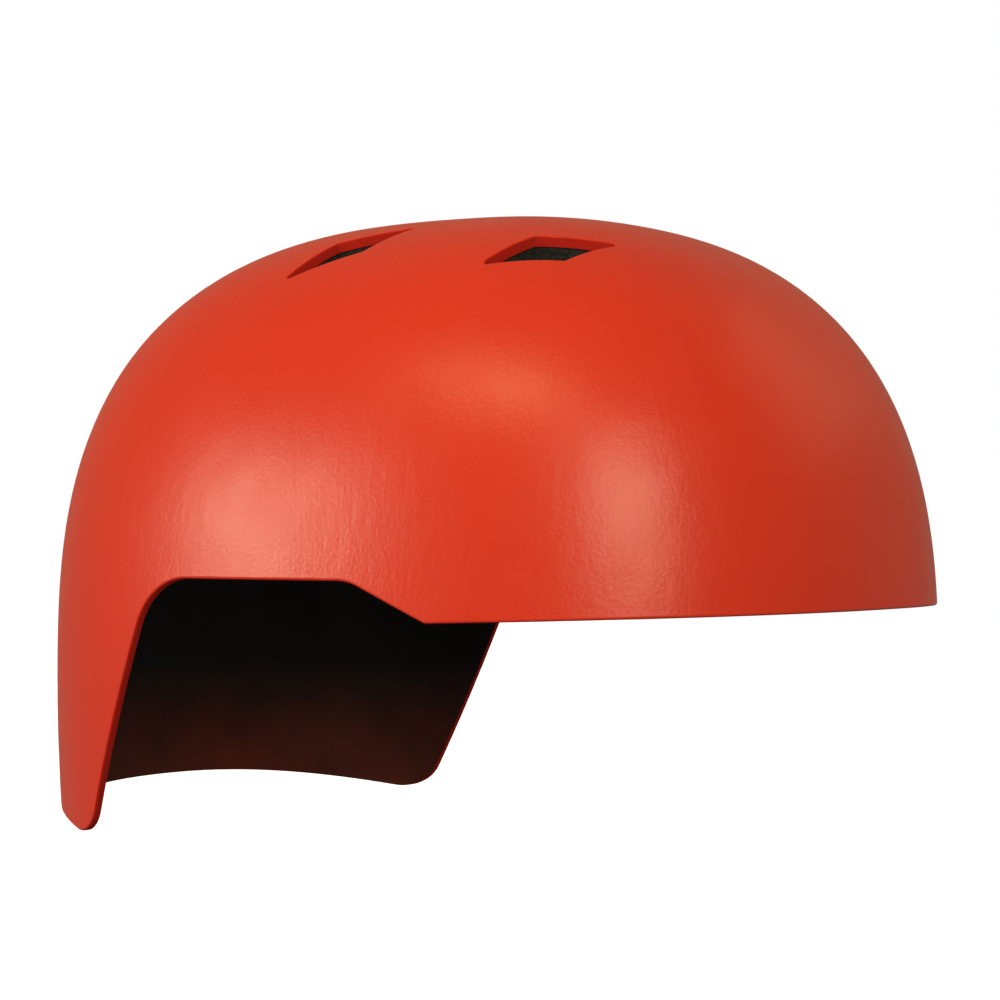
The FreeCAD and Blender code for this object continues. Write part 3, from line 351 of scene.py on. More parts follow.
def shell_material(paint):
    """Painted outside with a fine ripple, cut edges darkened with painted shade, and a dark
    inside.
    """
    cloud_count, speck_count, blotch_count, haze_count = 11.0, 95.0, 28.0, 60.0
    speck_size, speck_strength, blotch_strength = 0.035, 0.55, 0.6
    # levels between which the dark inside turns into the painted glow near the rim
    painted_glow_top, painted_glow_low = -0.020, -0.078
    rough_swing, unlacquered, gloss_outside, gloss_inside = 0.03, 0.35, 0.5, 0.6
    streak_length, streak_depth = 0.35, 1.4
    material, nodes, links, shader = new_material("shell_paint")
    place = object_place(nodes)
    look, level = facing(nodes, links, place)
    cloud = noise(nodes, links, place, cloud_count, 3.0)
    outside = mix_colour(nodes, links, cloud, scaled(paint.outside, 0.95),
                         scaled(paint.outside, 1.05))
    specks = texture(nodes, links, "Voronoi", place, "Distance", Scale=speck_count)
    dust = map_range(nodes, links, specks, 0.0, speck_size, speck_strength, 0.0)
    outside = mix_colour(nodes, links, dust, outside, scaled(paint.outside, 1.6))
    # random darker blotches on the inside
    blotches = noise(nodes, links, place, blotch_count, 4.0, 0.6)
    # low inside the bowl the dark paint gives way to a painted glow of light near the rim
    low = map_range(nodes, links, level, painted_glow_top, painted_glow_low)
    inside = mix_colour(nodes, links, low, tuple(paint.inside), tuple(paint.painted_rim_glow))
    inside = mix_colour(nodes, links, map_range(nodes, links, blotches, 0.35, 0.70, 0.0,
                                                blotch_strength),
                        inside, scaled(paint.inside, 0.6))
    # the vents' walls and the rim take the darker edge colour: painted shade on the cut faces
    outer = map_range(nodes, links, look, *WALL_TO_OUTSIDE)
    inner = map_range(nodes, links, look, *INSIDE_TO_WALL)
    walls = mix_colour(nodes, links, outer, tuple(paint.edge), outside)
    links.new(mix_colour(nodes, links, inner, inside, walls), shader.inputs["Base Color"])
    haze = noise(nodes, links, place, haze_count, 3.0)
    gloss = map_range(nodes, links, haze, 0.3, 0.7, paint.roughness - rough_swing,
                      paint.roughness + rough_swing)
    within = math_node(nodes, links, "SUBTRACT", 1.0, inner)
    matte = math_node(nodes, links, "MULTIPLY", within, unlacquered)
    links.new(math_node(nodes, links, "ADD", gloss, matte), shader.inputs["Roughness"])
    ripple = noise(nodes, links, place, paint.peel_count, 2.0, 0.55)
    soft = bump(nodes, links, shader, ripple, paint.peel)
    streaks = noise(nodes, links, stretched(nodes, links, place, (1.0, 1.0, streak_length)),
                    paint.peel_count / 3.0, 3.0, 0.6)
    bump(nodes, links, shader, streaks, paint.peel * streak_depth, soft)
    coated = math_node(nodes, links, "MAXIMUM", outer,
                       math_node(nodes, links, "MULTIPLY", within, gloss_inside))
    links.new(math_node(nodes, links, "MULTIPLY", coated, gloss_outside),
              shader.inputs["Specular IOR Level"])
    return material


def plastic_material(name, base, roughness, grain_count, grain_depth):
    """Moulded plastic with a fine even grain and faint cloudiness."""
    cloud_count, scuff_count, scuff_strength = 42.0, 90.0, 0.5
    material, nodes, links, shader = new_material(name)
    place = object_place(nodes)
    cloud = noise(nodes, links, place, cloud_count, 3.0)
    tone = mix_colour(nodes, links, cloud, scaled(base, 0.82), scaled(base, 1.25))
    scuffs = noise(nodes, links, stretched(nodes, links, place, (1.0, 6.0, 1.0)), scuff_count,
                   4.0, 0.7)
    worn = map_range(nodes, links, scuffs, 0.62, 0.80, 0.0, scuff_strength)
    links.new(mix_colour(nodes, links, worn, tone, scaled(base, 2.2)),
              shader.inputs["Base Color"])
    links.new(map_range(nodes, links, scuffs, 0.3, 0.7, roughness - 0.07, roughness + 0.09),
              shader.inputs["Roughness"])
    grain = noise(nodes, links, place, grain_count, 3.0, 0.6)
    bump(nodes, links, shader, grain, grain_depth)
    return material


def foam_material(trim):
    """Moulded foam of pressed beads with sunken joints; faces away from the wearer, outside and
    in the channels, are darkened into painted shade.
    """
    joint_width, pillow_width, pillow_height, shade_tone = 0.10, 0.22, 0.00035, 0.05
    pore_count, pore_depth = 2600.0, 0.00006
    material, nodes, links, shader = new_material("liner_foam")
    place = object_place(nodes)
    joints = texture(nodes, links, "Voronoi", place, "Distance", feature="DISTANCE_TO_EDGE",
                     Scale=trim.bead_count)
    cells = texture(nodes, links, "Voronoi", place, "Color", Scale=trim.bead_count)
    bead = mix_colour(nodes, links, cells, scaled(trim.foam, 0.7), scaled(trim.foam, 1.5))
    edge = map_range(nodes, links, joints, 0.0, joint_width)
    bead = mix_colour(nodes, links, edge, scaled(trim.foam, 0.35), bead)
    # faces that don't look in at the wearer get painted shade instead of beads
    shade_mask = map_range(nodes, links, facing(nodes, links, place)[0], *BEADS_TO_SHADE)
    links.new(mix_colour(nodes, links, shade_mask, bead, scaled(trim.foam, shade_tone)),
              shader.inputs["Base Color"])
    shader.inputs["Roughness"].default_value = 0.85
    pillow = map_range(nodes, links, joints, 0.0, pillow_width)
    cushion = bump(nodes, links, shader, pillow, pillow_height)
    pores = noise(nodes, links, place, pore_count, 2.0)
    bump(nodes, links, shader, pores, pore_depth, cushion)
    return material


def fabric_material(name, base, loop_count):
    """Looped pile cloth: small rounded loops with a soft sheen."""
    loop_height, rumple_count, rumple_depth = 0.00028, 55.0, 0.0009
    material, nodes, links, shader = new_material(name)
    place = object_place(nodes)
    loops = texture(nodes, links, "Voronoi", place, "Distance", Scale=loop_count)
    shade = texture(nodes, links, "Voronoi", place, "Color", Scale=loop_count)
    pile = mix_colour(nodes, links, shade, scaled(base, 0.75), scaled(base, 1.45))
    crown = map_range(nodes, links, loops, 0.15, 0.65, 1.0, 0.0)
    links.new(mix_colour(nodes, links, crown, scaled(base, 0.35), pile),
              shader.inputs["Base Color"])
    shader.inputs["Roughness"].default_value = 0.92
    shader.inputs["Sheen Weight"].default_value = 0.25
    shader.inputs["Sheen Roughness"].default_value = 0.5
    knots = bump(nodes, links, shader, crown, loop_height)
    rumple = noise(nodes, links, place, rumple_count, 3.0)
    bump(nodes, links, shader, rumple, rumple_depth, knots)
    return material


def webbing_material(trim):
    """Flat woven strap, from the piece's own UV map: ribs across it, shifted row by row."""
    end_width, pick_length, yarn_height, fade_count = 0.0011, 0.0026, 0.00035, 120.0
    material, nodes, links, shader = new_material("webbing")
    split = nodes.new("ShaderNodeSeparateXYZ")
    links.new(nodes.new("ShaderNodeTexCoord").outputs["UV"], split.inputs[0])
    run, side = split.outputs[0], split.outputs[1]

    def hump(value):
        """A row of rounded humps, one to each whole step of a value."""
        turned = math_node(nodes, links, "MULTIPLY", value, math.pi)
        return math_node(nodes, links, "ABSOLUTE", math_node(nodes, links, "SINE", turned))

    ends = math_node(nodes, links, "MULTIPLY", side, 1.0 / end_width)
    odd = math_node(nodes, links, "MODULO", math_node(nodes, links, "FLOOR", ends), 2.0)
    picks = math_node(nodes, links, "ADD",
                      math_node(nodes, links, "MULTIPLY", run, 1.0 / pick_length),
                      math_node(nodes, links, "MULTIPLY", odd, 0.5))
    weave = math_node(nodes, links, "MULTIPLY",
                      math_node(nodes, links, "POWER", hump(picks), 0.6),
                      math_node(nodes, links, "POWER", hump(ends), 0.5))
    fade = noise(nodes, links, object_place(nodes), fade_count, 3.0)
    yarn = mix_colour(nodes, links, fade, scaled(trim.webbing, 0.8), scaled(trim.webbing, 1.7))
    links.new(mix_colour(nodes, links, weave, scaled(trim.webbing, 0.3), yarn),
              shader.inputs["Base Color"])
    shader.inputs["Roughness"].default_value = 0.7
    shader.inputs["Sheen Weight"].default_value = 0.2
    bump(nodes, links, shader, weave, yarn_height)
    return material


def hook_material(trim):
    """Hook tape: rows of tiny hooks on a woven back."""
    hook_count, hook_height = 700.0, 0.0004
    material, nodes, links, shader = new_material("hook_tape")
    place = object_place(nodes)
    hooks = texture(nodes, links, "Voronoi", place, "Distance", Scale=hook_count,
                    Randomness=0.25)
    tips = map_range(nodes, links, hooks, 0.10, 0.35, 1.0, 0.0)
    links.new(mix_colour(nodes, links, tips, scaled(trim.fabric, 0.5), scaled(trim.fabric, 2.0)),
              shader.inputs["Base Color"])
    shader.inputs["Roughness"].default_value = 0.6
    bump(nodes, links, shader, tips, hook_height)
    return material


def thread_material(trim):
    """Twisted sewing thread."""
    twist_count, twist_depth = 3200.0, 0.0001
    material, nodes, links, shader = new_material("thread")
    twist = noise(nodes, links, object_place(nodes), twist_count, 2.0)
    links.new(mix_colour(nodes, links, twist, scaled(trim.thread, 0.6),
                         scaled(trim.thread, 1.5)), shader.inputs["Base Color"])
    shader.inputs["Roughness"].default_value = 0.65
    bump(nodes, links, shader, twist, twist_depth)
    return material


def steel_material(trim):
    """Turned steel with fine tool marks."""
    mark_count, mark_depth = 420.0, 0.00002
    material, nodes, links, shader = new_material("steel")
    place = object_place(nodes)
    marks = noise(nodes, links, stretched(nodes, links, place, (9.0, 1.0, 1.0)), mark_count,
                  4.0, 0.65)
    links.new(mix_colour(nodes, links, marks, scaled(trim.steel, 0.75),
                         scaled(trim.steel, 1.15)), shader.inputs["Base Color"])
    shader.inputs["Metallic"].default_value = 1.0
    links.new(map_range(nodes, links, marks, 0.3, 0.7, 0.22, 0.42), shader.inputs["Roughness"])
    bump(nodes, links, shader, marks, mark_depth)
    return material


# ---------------------------------------------------------------- mesh helpers

TINY = 1e-9
WELD = 1e-5


def select_only(piece):
    """Leaves just this object selected and active."""
    bpy.ops.object.select_all(action="DESELECT")
    piece.select_set(True)
    bpy.context.view_layer.objects.active = piece


def point_faces_out(piece, weld=0.0):
    """Turns a closed mesh's faces outwards, after its corners nearer than weld are joined."""
    select_only(piece)
    bpy.ops.object.mode_set(mode="EDIT")
    bpy.ops.mesh.select_all(action="SELECT")
    if weld:
        bpy.ops.mesh.remove_doubles(threshold=weld)
    bpy.ops.mesh.normals_make_consistent(inside=False)
    bpy.ops.object.mode_set(mode="OBJECT")


def apply_modifier(piece, name, kind, **settings):
    """Adds a modifier, sets it and applies it."""
    modifier = piece.modifiers.new(name, kind)
    for key, value in settings.items():
        setattr(modifier, key, value)
    select_only(piece)
    bpy.ops.object.modifier_apply(modifier=name)


def finish_piece(piece, name, material, body, slot, *replaced):
    """Names a new piece, gives it its material and hands it to its body."""
    piece.name = name
    piece.data.name = name
    piece.data.materials.clear()
    piece.data.materials.append(material)
    for face in piece.data.polygons:
        face.use_smooth = True
    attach(piece, body)
    if replaced:
        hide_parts(*replaced)
    return piece


def run_lengths(points):
    """How far along a line each of its points lies."""
    runs = [0.0]
    for one, other in zip(points, points[1:]):
        runs.append(runs[-1] + (other - one).length)
    return runs


def evenly_spaced(corners, gap):
    """Points one gap apart, or nearly, along a line of 2-D corners."""
    runs = run_lengths(corners)
    steps = max(1, round(runs[-1] / gap))
    points, index = [], 0
    for step in range(steps + 1):
        goal = runs[-1] * step / steps
        while index < len(runs) - 2 and runs[index + 1] < goal:
            index += 1
        span = max(runs[index + 1] - runs[index], TINY)
        points.append(corners[index].lerp(corners[index + 1], (goal - runs[index]) / span))
    return points


# ---------------------------------------------------------------- pads

AIR_PRESSURE, SWELL_STEPS = 4.0, 20
FACING_HEAD = 0.3    # how squarely a face has to look at the wearer to be pressed and sewn
RAY_START = 0.02     # how far off a pad the rays start that place its stitches


def even_copy(node, voxel):
    """An evenly meshed copy of a plain soft solid."""
    piece = bpy.data.objects.new(node + "_soft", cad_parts[node].data.copy())
    bpy.context.collection.objects.link(piece)
    point_faces_out(piece, WELD)
    piece.data.remesh_voxel_size = voxel
    bpy.ops.object.voxel_remesh()
    return piece


def shift_points(piece, depth_at):
    """Moves each point in along its normal by depth_at(place, normal)."""
    moved = [vertex.co - vertex.normal * depth_at(vertex.co, vertex.normal)
             for vertex in piece.data.vertices]
    for vertex, place in zip(piece.data.vertices, moved):
        vertex.co = place
    piece.data.update()


def swell(piece, limit):
    """Lets air pressure fill the cover, then keeps each point within a limit of its start."""
    start = [vertex.co.copy() for vertex in piece.data.vertices]
    cloth = piece.modifiers.new("cover", "CLOTH")
    cloth.settings.use_pressure = True
    cloth.settings.uniform_pressure_force = AIR_PRESSURE
    cloth.settings.effector_weights.gravity = 0.0
    scene = bpy.context.scene
    for step in range(1, SWELL_STEPS + 1):
        scene.frame_set(step)
    view = bpy.context.evaluated_depsgraph_get()
    blown = [vertex.co.copy() for vertex in piece.evaluated_get(view).data.vertices]
    piece.modifiers.remove(cloth)
    scene.frame_set(1)
    for vertex, before, after in zip(piece.data.vertices, start, blown):
        step = after - before
        if step.length > limit:
            step = step.normalized() * limit
        vertex.co = before + step
    piece.data.update()


def ease(value):
    """A smooth step from 0 to 1."""
    value = max(0.0, min(1.0, value))
    return value * value * (3.0 - 2.0 * value)


def rounded_box_distance(x, y, half_x, half_y, radius):
    """Distance outside a rounded rectangle; negative inside it."""
    over_x, over_y = abs(x) - half_x + radius, abs(y) - half_y + radius
    outside = math.hypot(max(over_x, 0.0), max(over_y, 0.0))
    return outside + min(max(over_x, over_y), 0.0) - radius


def sewn_pad(name, node, body, pads, material, edge_at, channel_at, faces_head):
    """A crowned pad with a pressed border, a sewn seam inside it and sewn channels.

    edge_at and channel_at give a point's distance to the border and to the nearest channel;
    faces_head says whether a normal looks towards the wearer.
    """
    piece = even_copy(node, pads.voxel)
    shift_points(piece, lambda place, normal: pads.shrink)
    swell(piece, pads.swell)
    apply_modifier(piece, "finer", "SUBSURF", levels=1, render_levels=1)

    def depth(place, normal):
        """How far a point is pressed in by the border and the seams."""
        if not faces_head(place, normal):
            return 0.0
        edge = edge_at(place)
        pressed = pads.pinch * ease((edge + 2.0 * pads.hem) / (2.0 * pads.hem))
        seam = min(abs(edge + pads.hem), channel_at(place))
        return pressed + pads.groove_depth * ease(1.0 - seam / pads.groove)

    shift_points(piece, depth)
    finish_piece(piece, name, material, body, "pad_fabric", node)
    return piece


def stitch_row(name, places, pads, material, body):
    """A row of thread stitches lying along (place, direction, normal) triples."""
    bpy.ops.mesh.primitive_uv_sphere_add(segments=6, ring_count=4, radius=0.5)
    model = bpy.context.object
    shape = [vertex.co.copy() for vertex in model.data.vertices]
    faces = [tuple(face.vertices) for face in model.data.polygons]
    bpy.data.objects.remove(model)
    points, rings = [], []
    for place, direction, normal in places:
        side = direction.cross(normal).normalized()
        first = len(points)
        for corner in shape:
            points.append(place + direction * corner.x * pads.stitch
                          + side * corner.y * pads.thread + normal * corner.z * pads.thread)
        rings.extend(tuple(first + index for index in face) for face in faces)
    mesh = bpy.data.meshes.new(name)
    mesh.from_pydata(points, [], rings)
    piece = bpy.data.objects.new(name, mesh)
    bpy.context.collection.objects.link(piece)
    point_faces_out(piece)
    return finish_piece(piece, name, material, body, "pad_fabric")


# ---------------------------------------------------------------- strap

def bent_line(corners, radius, spacing):
    """Points along straight runs joined by tangent arcs, about one spacing apart."""
    line = [corners[0]]
    for before, corner, after in zip(corners, corners[1:], corners[2:]):
        into, out = (corner - before).normalized(), (after - corner).normalized()
        turn = into.angle(out)
        trim = radius * math.tan(turn / 2.0)
        first = corner - into * trim
        side = (out - into * into.dot(out)).normalized()
        steps = max(3, int(radius * turn / spacing))
        for step in range(steps + 1):
            here = turn * step / steps
            line.append(first + into * radius * math.sin(here)
                        + side * radius * (1.0 - math.cos(here)))
    line.append(corners[-1])
    filled = [line[0]]
    for start, end in zip(line, line[1:]):
        pieces = max(1, round((end - start).length / spacing))
        filled.extend(start.lerp(end, step / pieces) for step in range(1, pieces + 1))
    return filled


def ribbon(name, line, half_width, middle, thick, crown):
    """A woven ribbon along a line in the XZ plane, with UVs in metres along and across it."""
    rows, flatness, edge_share = 10, 6, 0.3
    bpy.ops.mesh.primitive_grid_add(x_subdivisions=len(line) - 1, y_subdivisions=rows, size=1.0)
    piece = bpy.context.object
    run = run_lengths(line)
    flat = {}
    for vertex in piece.data.vertices:
        index = round((vertex.co.x + 0.5) * (len(line) - 1))
        share_across = vertex.co.y * 2.0
        before, after = line[max(0, index - 1)], line[min(len(line) - 1, index + 1)]
        along = (after - before).normalized()
        out = along.cross(Vector((0.0, 1.0, 0.0)))
        lift = crown * (1.0 - abs(share_across) ** flatness)
        flat[vertex.index] = (run[index], share_across * half_width + half_width)
        place = line[index] + out * lift
        vertex.co = (place.x, middle + share_across * half_width, place.z)
    for loop in piece.data.loops:
        piece.data.uv_layers.active.data[loop.index].uv = flat[loop.vertex_index]
    apply_modifier(piece, "cloth", "SOLIDIFY", thickness=thick, offset=0.0)
    apply_modifier(piece, "selvedge", "BEVEL", width=thick * edge_share, segments=2,
                   limit_method="ANGLE")
    piece.name = name
    return piece


# ---------------------------------------------------------------- operators

class HELMET_OT_shell(bpy.types.Operator):
    """Paint the shell"""

    bl_idname = "helmet.shell"
    bl_label = "Shell"

    def execute(self, context):
        paint_nodes(shell_material(context.scene.helmet_paint), "outer_shell")
        return {"FINISHED"}


class HELMET_OT_foam(bpy.types.Operator):
    """Give the foam liners their beads and the hook discs their hooks"""

    bl_idname = "helmet.foam"
    bl_label = "Foam"

    def execute(self, context):
        trim = context.scene.helmet_trim
        paint_nodes(foam_material(trim), "crown_liner", "brow_liner")
        paint_nodes(hook_material(trim), "pad_hook_discs")
        return {"FINISHED"}


class HELMET_OT_hardware(bpy.types.Operator):
    """Give the headband, adjuster, anchors, buckle and pins their materials"""

    bl_idname = "helmet.hardware"
    bl_label = "Hardware"

    def execute(self, context):
        trim = context.scene.helmet_trim
        for name, base, roughness, grain_count, grain_depth, nodes in (
                ("band_plastic", trim.plastic, 0.46, 1500.0, 0.00004,
                 ("headband", "arm_left", "arm_right", "adjuster_housing", "adjuster_cover")),
                ("anchor_plastic", trim.plastic, 0.60, 900.0, 0.00007,
                 ("side_anchor_left", "side_anchor_right", "front_anchor_left",
                  "front_anchor_right", "brow_studs")),
                ("buckle_plastic", trim.buckle, 0.38, 1900.0, 0.00003,
                 ("buckle_socket", "buckle_plug", "strap_keeper", "strap_hanger_left",
                  "strap_hanger_right")),
                ("knob_rubber", trim.knob, 0.72, 1300.0, 0.00008, ("adjuster_knob",)),
                ("gear_plastic", trim.gear, 0.34, 2200.0, 0.00002, ("drive_pinion",))):
            paint_nodes(plastic_material(name, base, roughness, grain_count, grain_depth), *nodes)
        paint_nodes(steel_material(trim), "side_pins", "adjuster_screws", "click_spring")
        return {"FINISHED"}


class HELMET_OT_pads(bpy.types.Operator):
    """Make the crown, brow and nape pads with their seams and stitches"""

    bl_idname = "helmet.pads"
    bl_label = "Pads"

    def execute(self, context):
        pads, trim = context.scene.helmet_pads, context.scene.helmet_trim
        self.cloth = fabric_material("pad_fabric", trim.fabric, trim.loop_count)
        self.thread = thread_material(trim)
        for place in ("front", "rear"):
            self.crown_pad(pads, place)
        self.nape_pad(pads)
        self.brow_pad(pads)
        return {"FINISHED"}

    def sew_round(self, piece, name, body, pads, rays):
        """Stitches where rays meet the pad, each laid towards the next one."""
        bpy.context.view_layer.update()
        hits = []
        for start, direction in rays:
            found, place, normal, _ = piece.ray_cast(start, direction)
            if found:
                hits.append((place, normal))
        places = []
        for (place, normal), (following, _) in zip(hits, hits[1:]):
            step = following - place
            if step.length < 2.0 * pads.stitch_gap:
                places.append((place, step.normalized(), normal))
        stitch_row(name, places, pads, self.thread, body)

    def oval_seam(self, half_x, half_y, radius, gap):
        """Points round a rounded rectangle, one gap apart."""
        corners, arc_steps = [], 6
        for turn, (side_x, side_y) in enumerate(((1, 1), (-1, 1), (-1, -1), (1, -1))):
            for step in range(arc_steps + 1):
                here = math.pi / 2.0 * (turn + step / arc_steps)
                corners.append(Vector((side_x * (half_x - radius) + radius * math.cos(here),
                                       side_y * (half_y - radius) + radius * math.sin(here))))
        corners.append(corners[0])
        return evenly_spaced(corners, gap)

    def crown_pad(self, pads, place):
        """A pad under the foam cap, sewn from below."""
        node = "crown_pad_" + place
        low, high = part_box(node)
        middle, half = (low + high) / 2.0, (high - low) / 2.0
        piece = sewn_pad(
            "crown_cushion_" + place, node, "helmet", pads, self.cloth,
            lambda p: rounded_box_distance(p.x, p.y - middle.y, half.x, half.y,
                                           pads.crown_round),
            lambda p: abs(abs(p.x) - half.x / 3.0), lambda p, n: n.z < -FACING_HEAD)
        seam = self.oval_seam(half.x - pads.hem, half.y - pads.hem,
                              pads.crown_round - pads.hem, pads.stitch_gap)
        rays = [(Vector((p.x, p.y + middle.y, low.z - RAY_START)), Vector((0, 0, 1)))
                for p in seam]
        self.sew_round(piece, "crown_stitches_" + place, "helmet", pads, rays)

    def nape_pad(self, pads):
        """The pad on the adjuster, sewn from the front."""
        low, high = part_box("nape_pad")
        middle, half = (low + high) / 2.0, (high - low) / 2.0
        piece = sewn_pad(
            "nape_cushion", "nape_pad", "nape_cradle", pads, self.cloth,
            lambda p: rounded_box_distance(p.x, p.z - middle.z, half.x, half.z,
                                           pads.nape_round),
            lambda p: abs(abs(p.x) - half.x / 3.0), lambda p, n: n.y < -FACING_HEAD)
        seam = self.oval_seam(half.x - pads.hem, half.z - pads.hem,
                              pads.nape_round - pads.hem, pads.stitch_gap)
        rays = [(Vector((p.x, low.y - RAY_START, p.y + middle.z)), Vector((0, 1, 0)))
                for p in seam]
        self.sew_round(piece, "nape_stitches", "nape_cradle", pads, rays)

    def brow_pad(self, pads):
        """The pad round the inside of the headband, sewn from the middle of the bowl."""
        low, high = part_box("brow_pad")
        middle, half = (low + high) / 2.0, (high - low) / 2.0
        straight, centre = half.x - pads.brow_bend, low.y + pads.brow_bend

        def run_at(place):
            """How far round the brow a point lies, from the middle."""
            if abs(place.x) < straight:
                return abs(place.x)
            return straight + pads.brow_bend * math.atan2(abs(place.x) - straight,
                                                          centre - place.y)

        def channel(place):
            """Distance round the brow to the nearest sewn channel."""
            run = run_at(place)
            return abs(run - pads.channel * round(run / pads.channel))

        def faces_head(place, normal):
            """Whether a normal looks towards the middle of the bowl."""
            inward = Vector((-place.x, centre - place.y, 0.0)).normalized()
            return normal.dot(inward) > FACING_HEAD

        piece = sewn_pad(
            "brow_cushion", "brow_pad", "helmet", pads, self.cloth,
            lambda p: max(abs(p.z - middle.z) - half.z, p.y - high.y), channel, faces_head)
        quarter = math.pi / 2.0
        steps = round((2.0 * straight + 2.0 * quarter * pads.brow_bend) / pads.stitch_gap)
        for name, level in (("high", middle.z + half.z - pads.hem),
                            ("low", middle.z - half.z + pads.hem)):
            rays = []
            for step in range(steps + 1):
                run = (step / steps * 2.0 - 1.0) * (straight + quarter * pads.brow_bend)
                turn = max(0.0, abs(run) - straight) / pads.brow_bend
                side = math.copysign(1.0, run)
                start = Vector((side * min(abs(run), straight), centre, level))
                rays.append((start, Vector((side * math.sin(turn), -math.cos(turn), 0.0))))
            self.sew_round(piece, "brow_stitches_" + name, "helmet", pads, rays)


class HELMET_OT_strap(bpy.types.Operator):
    """Make the two halves of the chin strap's webbing"""

    bl_idname = "helmet.strap"
    bl_label = "Strap"

    def execute(self, context):
        strap, pads = context.scene.helmet_strap, context.scene.helmet_pads
        trim = context.scene.helmet_trim
        cloth, thread = webbing_material(trim), bpy.data.materials["thread"]
        for name, side in (("left", 1.0), ("right", -1.0)):
            self.half(strap, pads, name, side, cloth, thread)
        return {"FINISHED"}

    def inwards(self, step, side):
        """The way to the wearer from a strap that runs up along a step."""
        along = step.normalized()
        return Vector((-side * along.z, 0.0, side * along.x))

    def half(self, strap, pads, name, side, cloth, thread):
        """One half's webbing, from its inner end down, round the bar and back up the lap."""
        ring_steps, smooth_angle = 10, math.radians(40.0)
        node = "strap_web_" + name
        low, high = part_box(node)
        middle, half_width = (low.y + high.y) / 2.0, (high.y - low.y) / 2.0
        foot = max(abs(low.x), abs(high.x)) - strap.loop
        bar = low.z + strap.loop
        inner_end = low.x if side > 0 else high.x
        radius = strap.loop - strap.thick / 2.0
        neck = bar + strap.neck
        corners = [Vector((inner_end, 0, strap.crest)),
                   Vector((side * strap.crest_out, 0, strap.crest)),
                   Vector((side * strap.shoulder_out, 0, strap.shoulder)),
                   Vector((side * foot, 0, strap.knee)), Vector((side * foot, 0, neck))]
        main = bent_line(corners, strap.bend, strap.spacing)
        ring = [Vector((side * (foot + radius * math.cos(turn)), 0,
                        bar - radius * math.sin(turn)))
                for turn in (math.pi * step / ring_steps for step in range(ring_steps + 1))]
        back, gone = [], 0.0
        for here, before in zip(reversed(main[1:]), reversed(main[:-1])):
            inward = self.inwards(before - here, side)
            back.append(here + inward * (strap.thick + strap.lap_gap))
            gone += (before - here).length
            if gone > strap.lap:
                break
        piece = ribbon("strap_webbing_" + name, main + ring + back, half_width, middle,
                       strap.thick, strap.crown)
        finish_piece(piece, piece.name, cloth, "chin_strap", "webbing", node)
        select_only(piece)
        bpy.ops.object.shade_smooth_by_angle(angle=smooth_angle)
        self.box_stitch(strap, pads, name, back, middle, half_width, side, thread)

    def box_stitch(self, strap, pads, name, back, middle, half_width, side, thread):
        """A stitched box with a cross in it, on the lap above the hanger."""
        deep = half_width - strap.stitch_inset
        start, end = strap.stitch_inset, strap.lap - strap.stitch_inset
        box = [Vector((start, -deep)), Vector((end, -deep)), Vector((end, deep)),
               Vector((start, deep)), Vector((start, -deep)), Vector((end, deep)),
               Vector((end, -deep)), Vector((start, deep))]
        runs = run_lengths(back)

        def on_lap(point):
            """A point of the flat lap laid on the strap, with the way to the wearer there."""
            index = max(i for i, run in enumerate(runs[:-1]) if run <= point.x)
            step = back[index + 1] - back[index]
            place = back[index] + step.normalized() * (point.x - runs[index])
            return place + Vector((0.0, middle + point.y, 0.0)), self.inwards(step, side)

        places = []
        for first, last in zip(box, box[1:]):
            line = evenly_spaced([first, last], pads.stitch_gap)
            for one, other in zip(line, line[1:]):
                place, inward = on_lap((one + other) / 2.0)
                direction = on_lap(other)[0] - on_lap(one)[0]
                lift = strap.thick / 2.0 + strap.crown
                places.append((place + inward * lift, direction.normalized(), inward))
        piece = stitch_row("strap_stitches_" + name, places, pads, thread, "chin_strap")


def area_light(name, azimuth, elevation, distance, width, height, radiance, tint):
    """A softbox aimed at the helmet, its place given as angles round it."""
    data = bpy.data.lights.new(name, "AREA")
    data.shape = "RECTANGLE"
    data.size, data.size_y = width, height
    data.energy = radiance * math.pi * width * height
    data.color = tint
    lamp = bpy.data.objects.new(name, data)
    bpy.context.collection.objects.link(lamp)
    turn, rise = math.radians(azimuth), math.radians(elevation)
    away = Vector((math.sin(turn) * math.cos(rise), -math.cos(turn) * math.cos(rise),
                   math.sin(rise)))
    lamp.location = away * distance
    lamp.rotation_euler = (-away).to_track_quat("-Z", "Y").to_euler()
    lamp.visible_camera = False


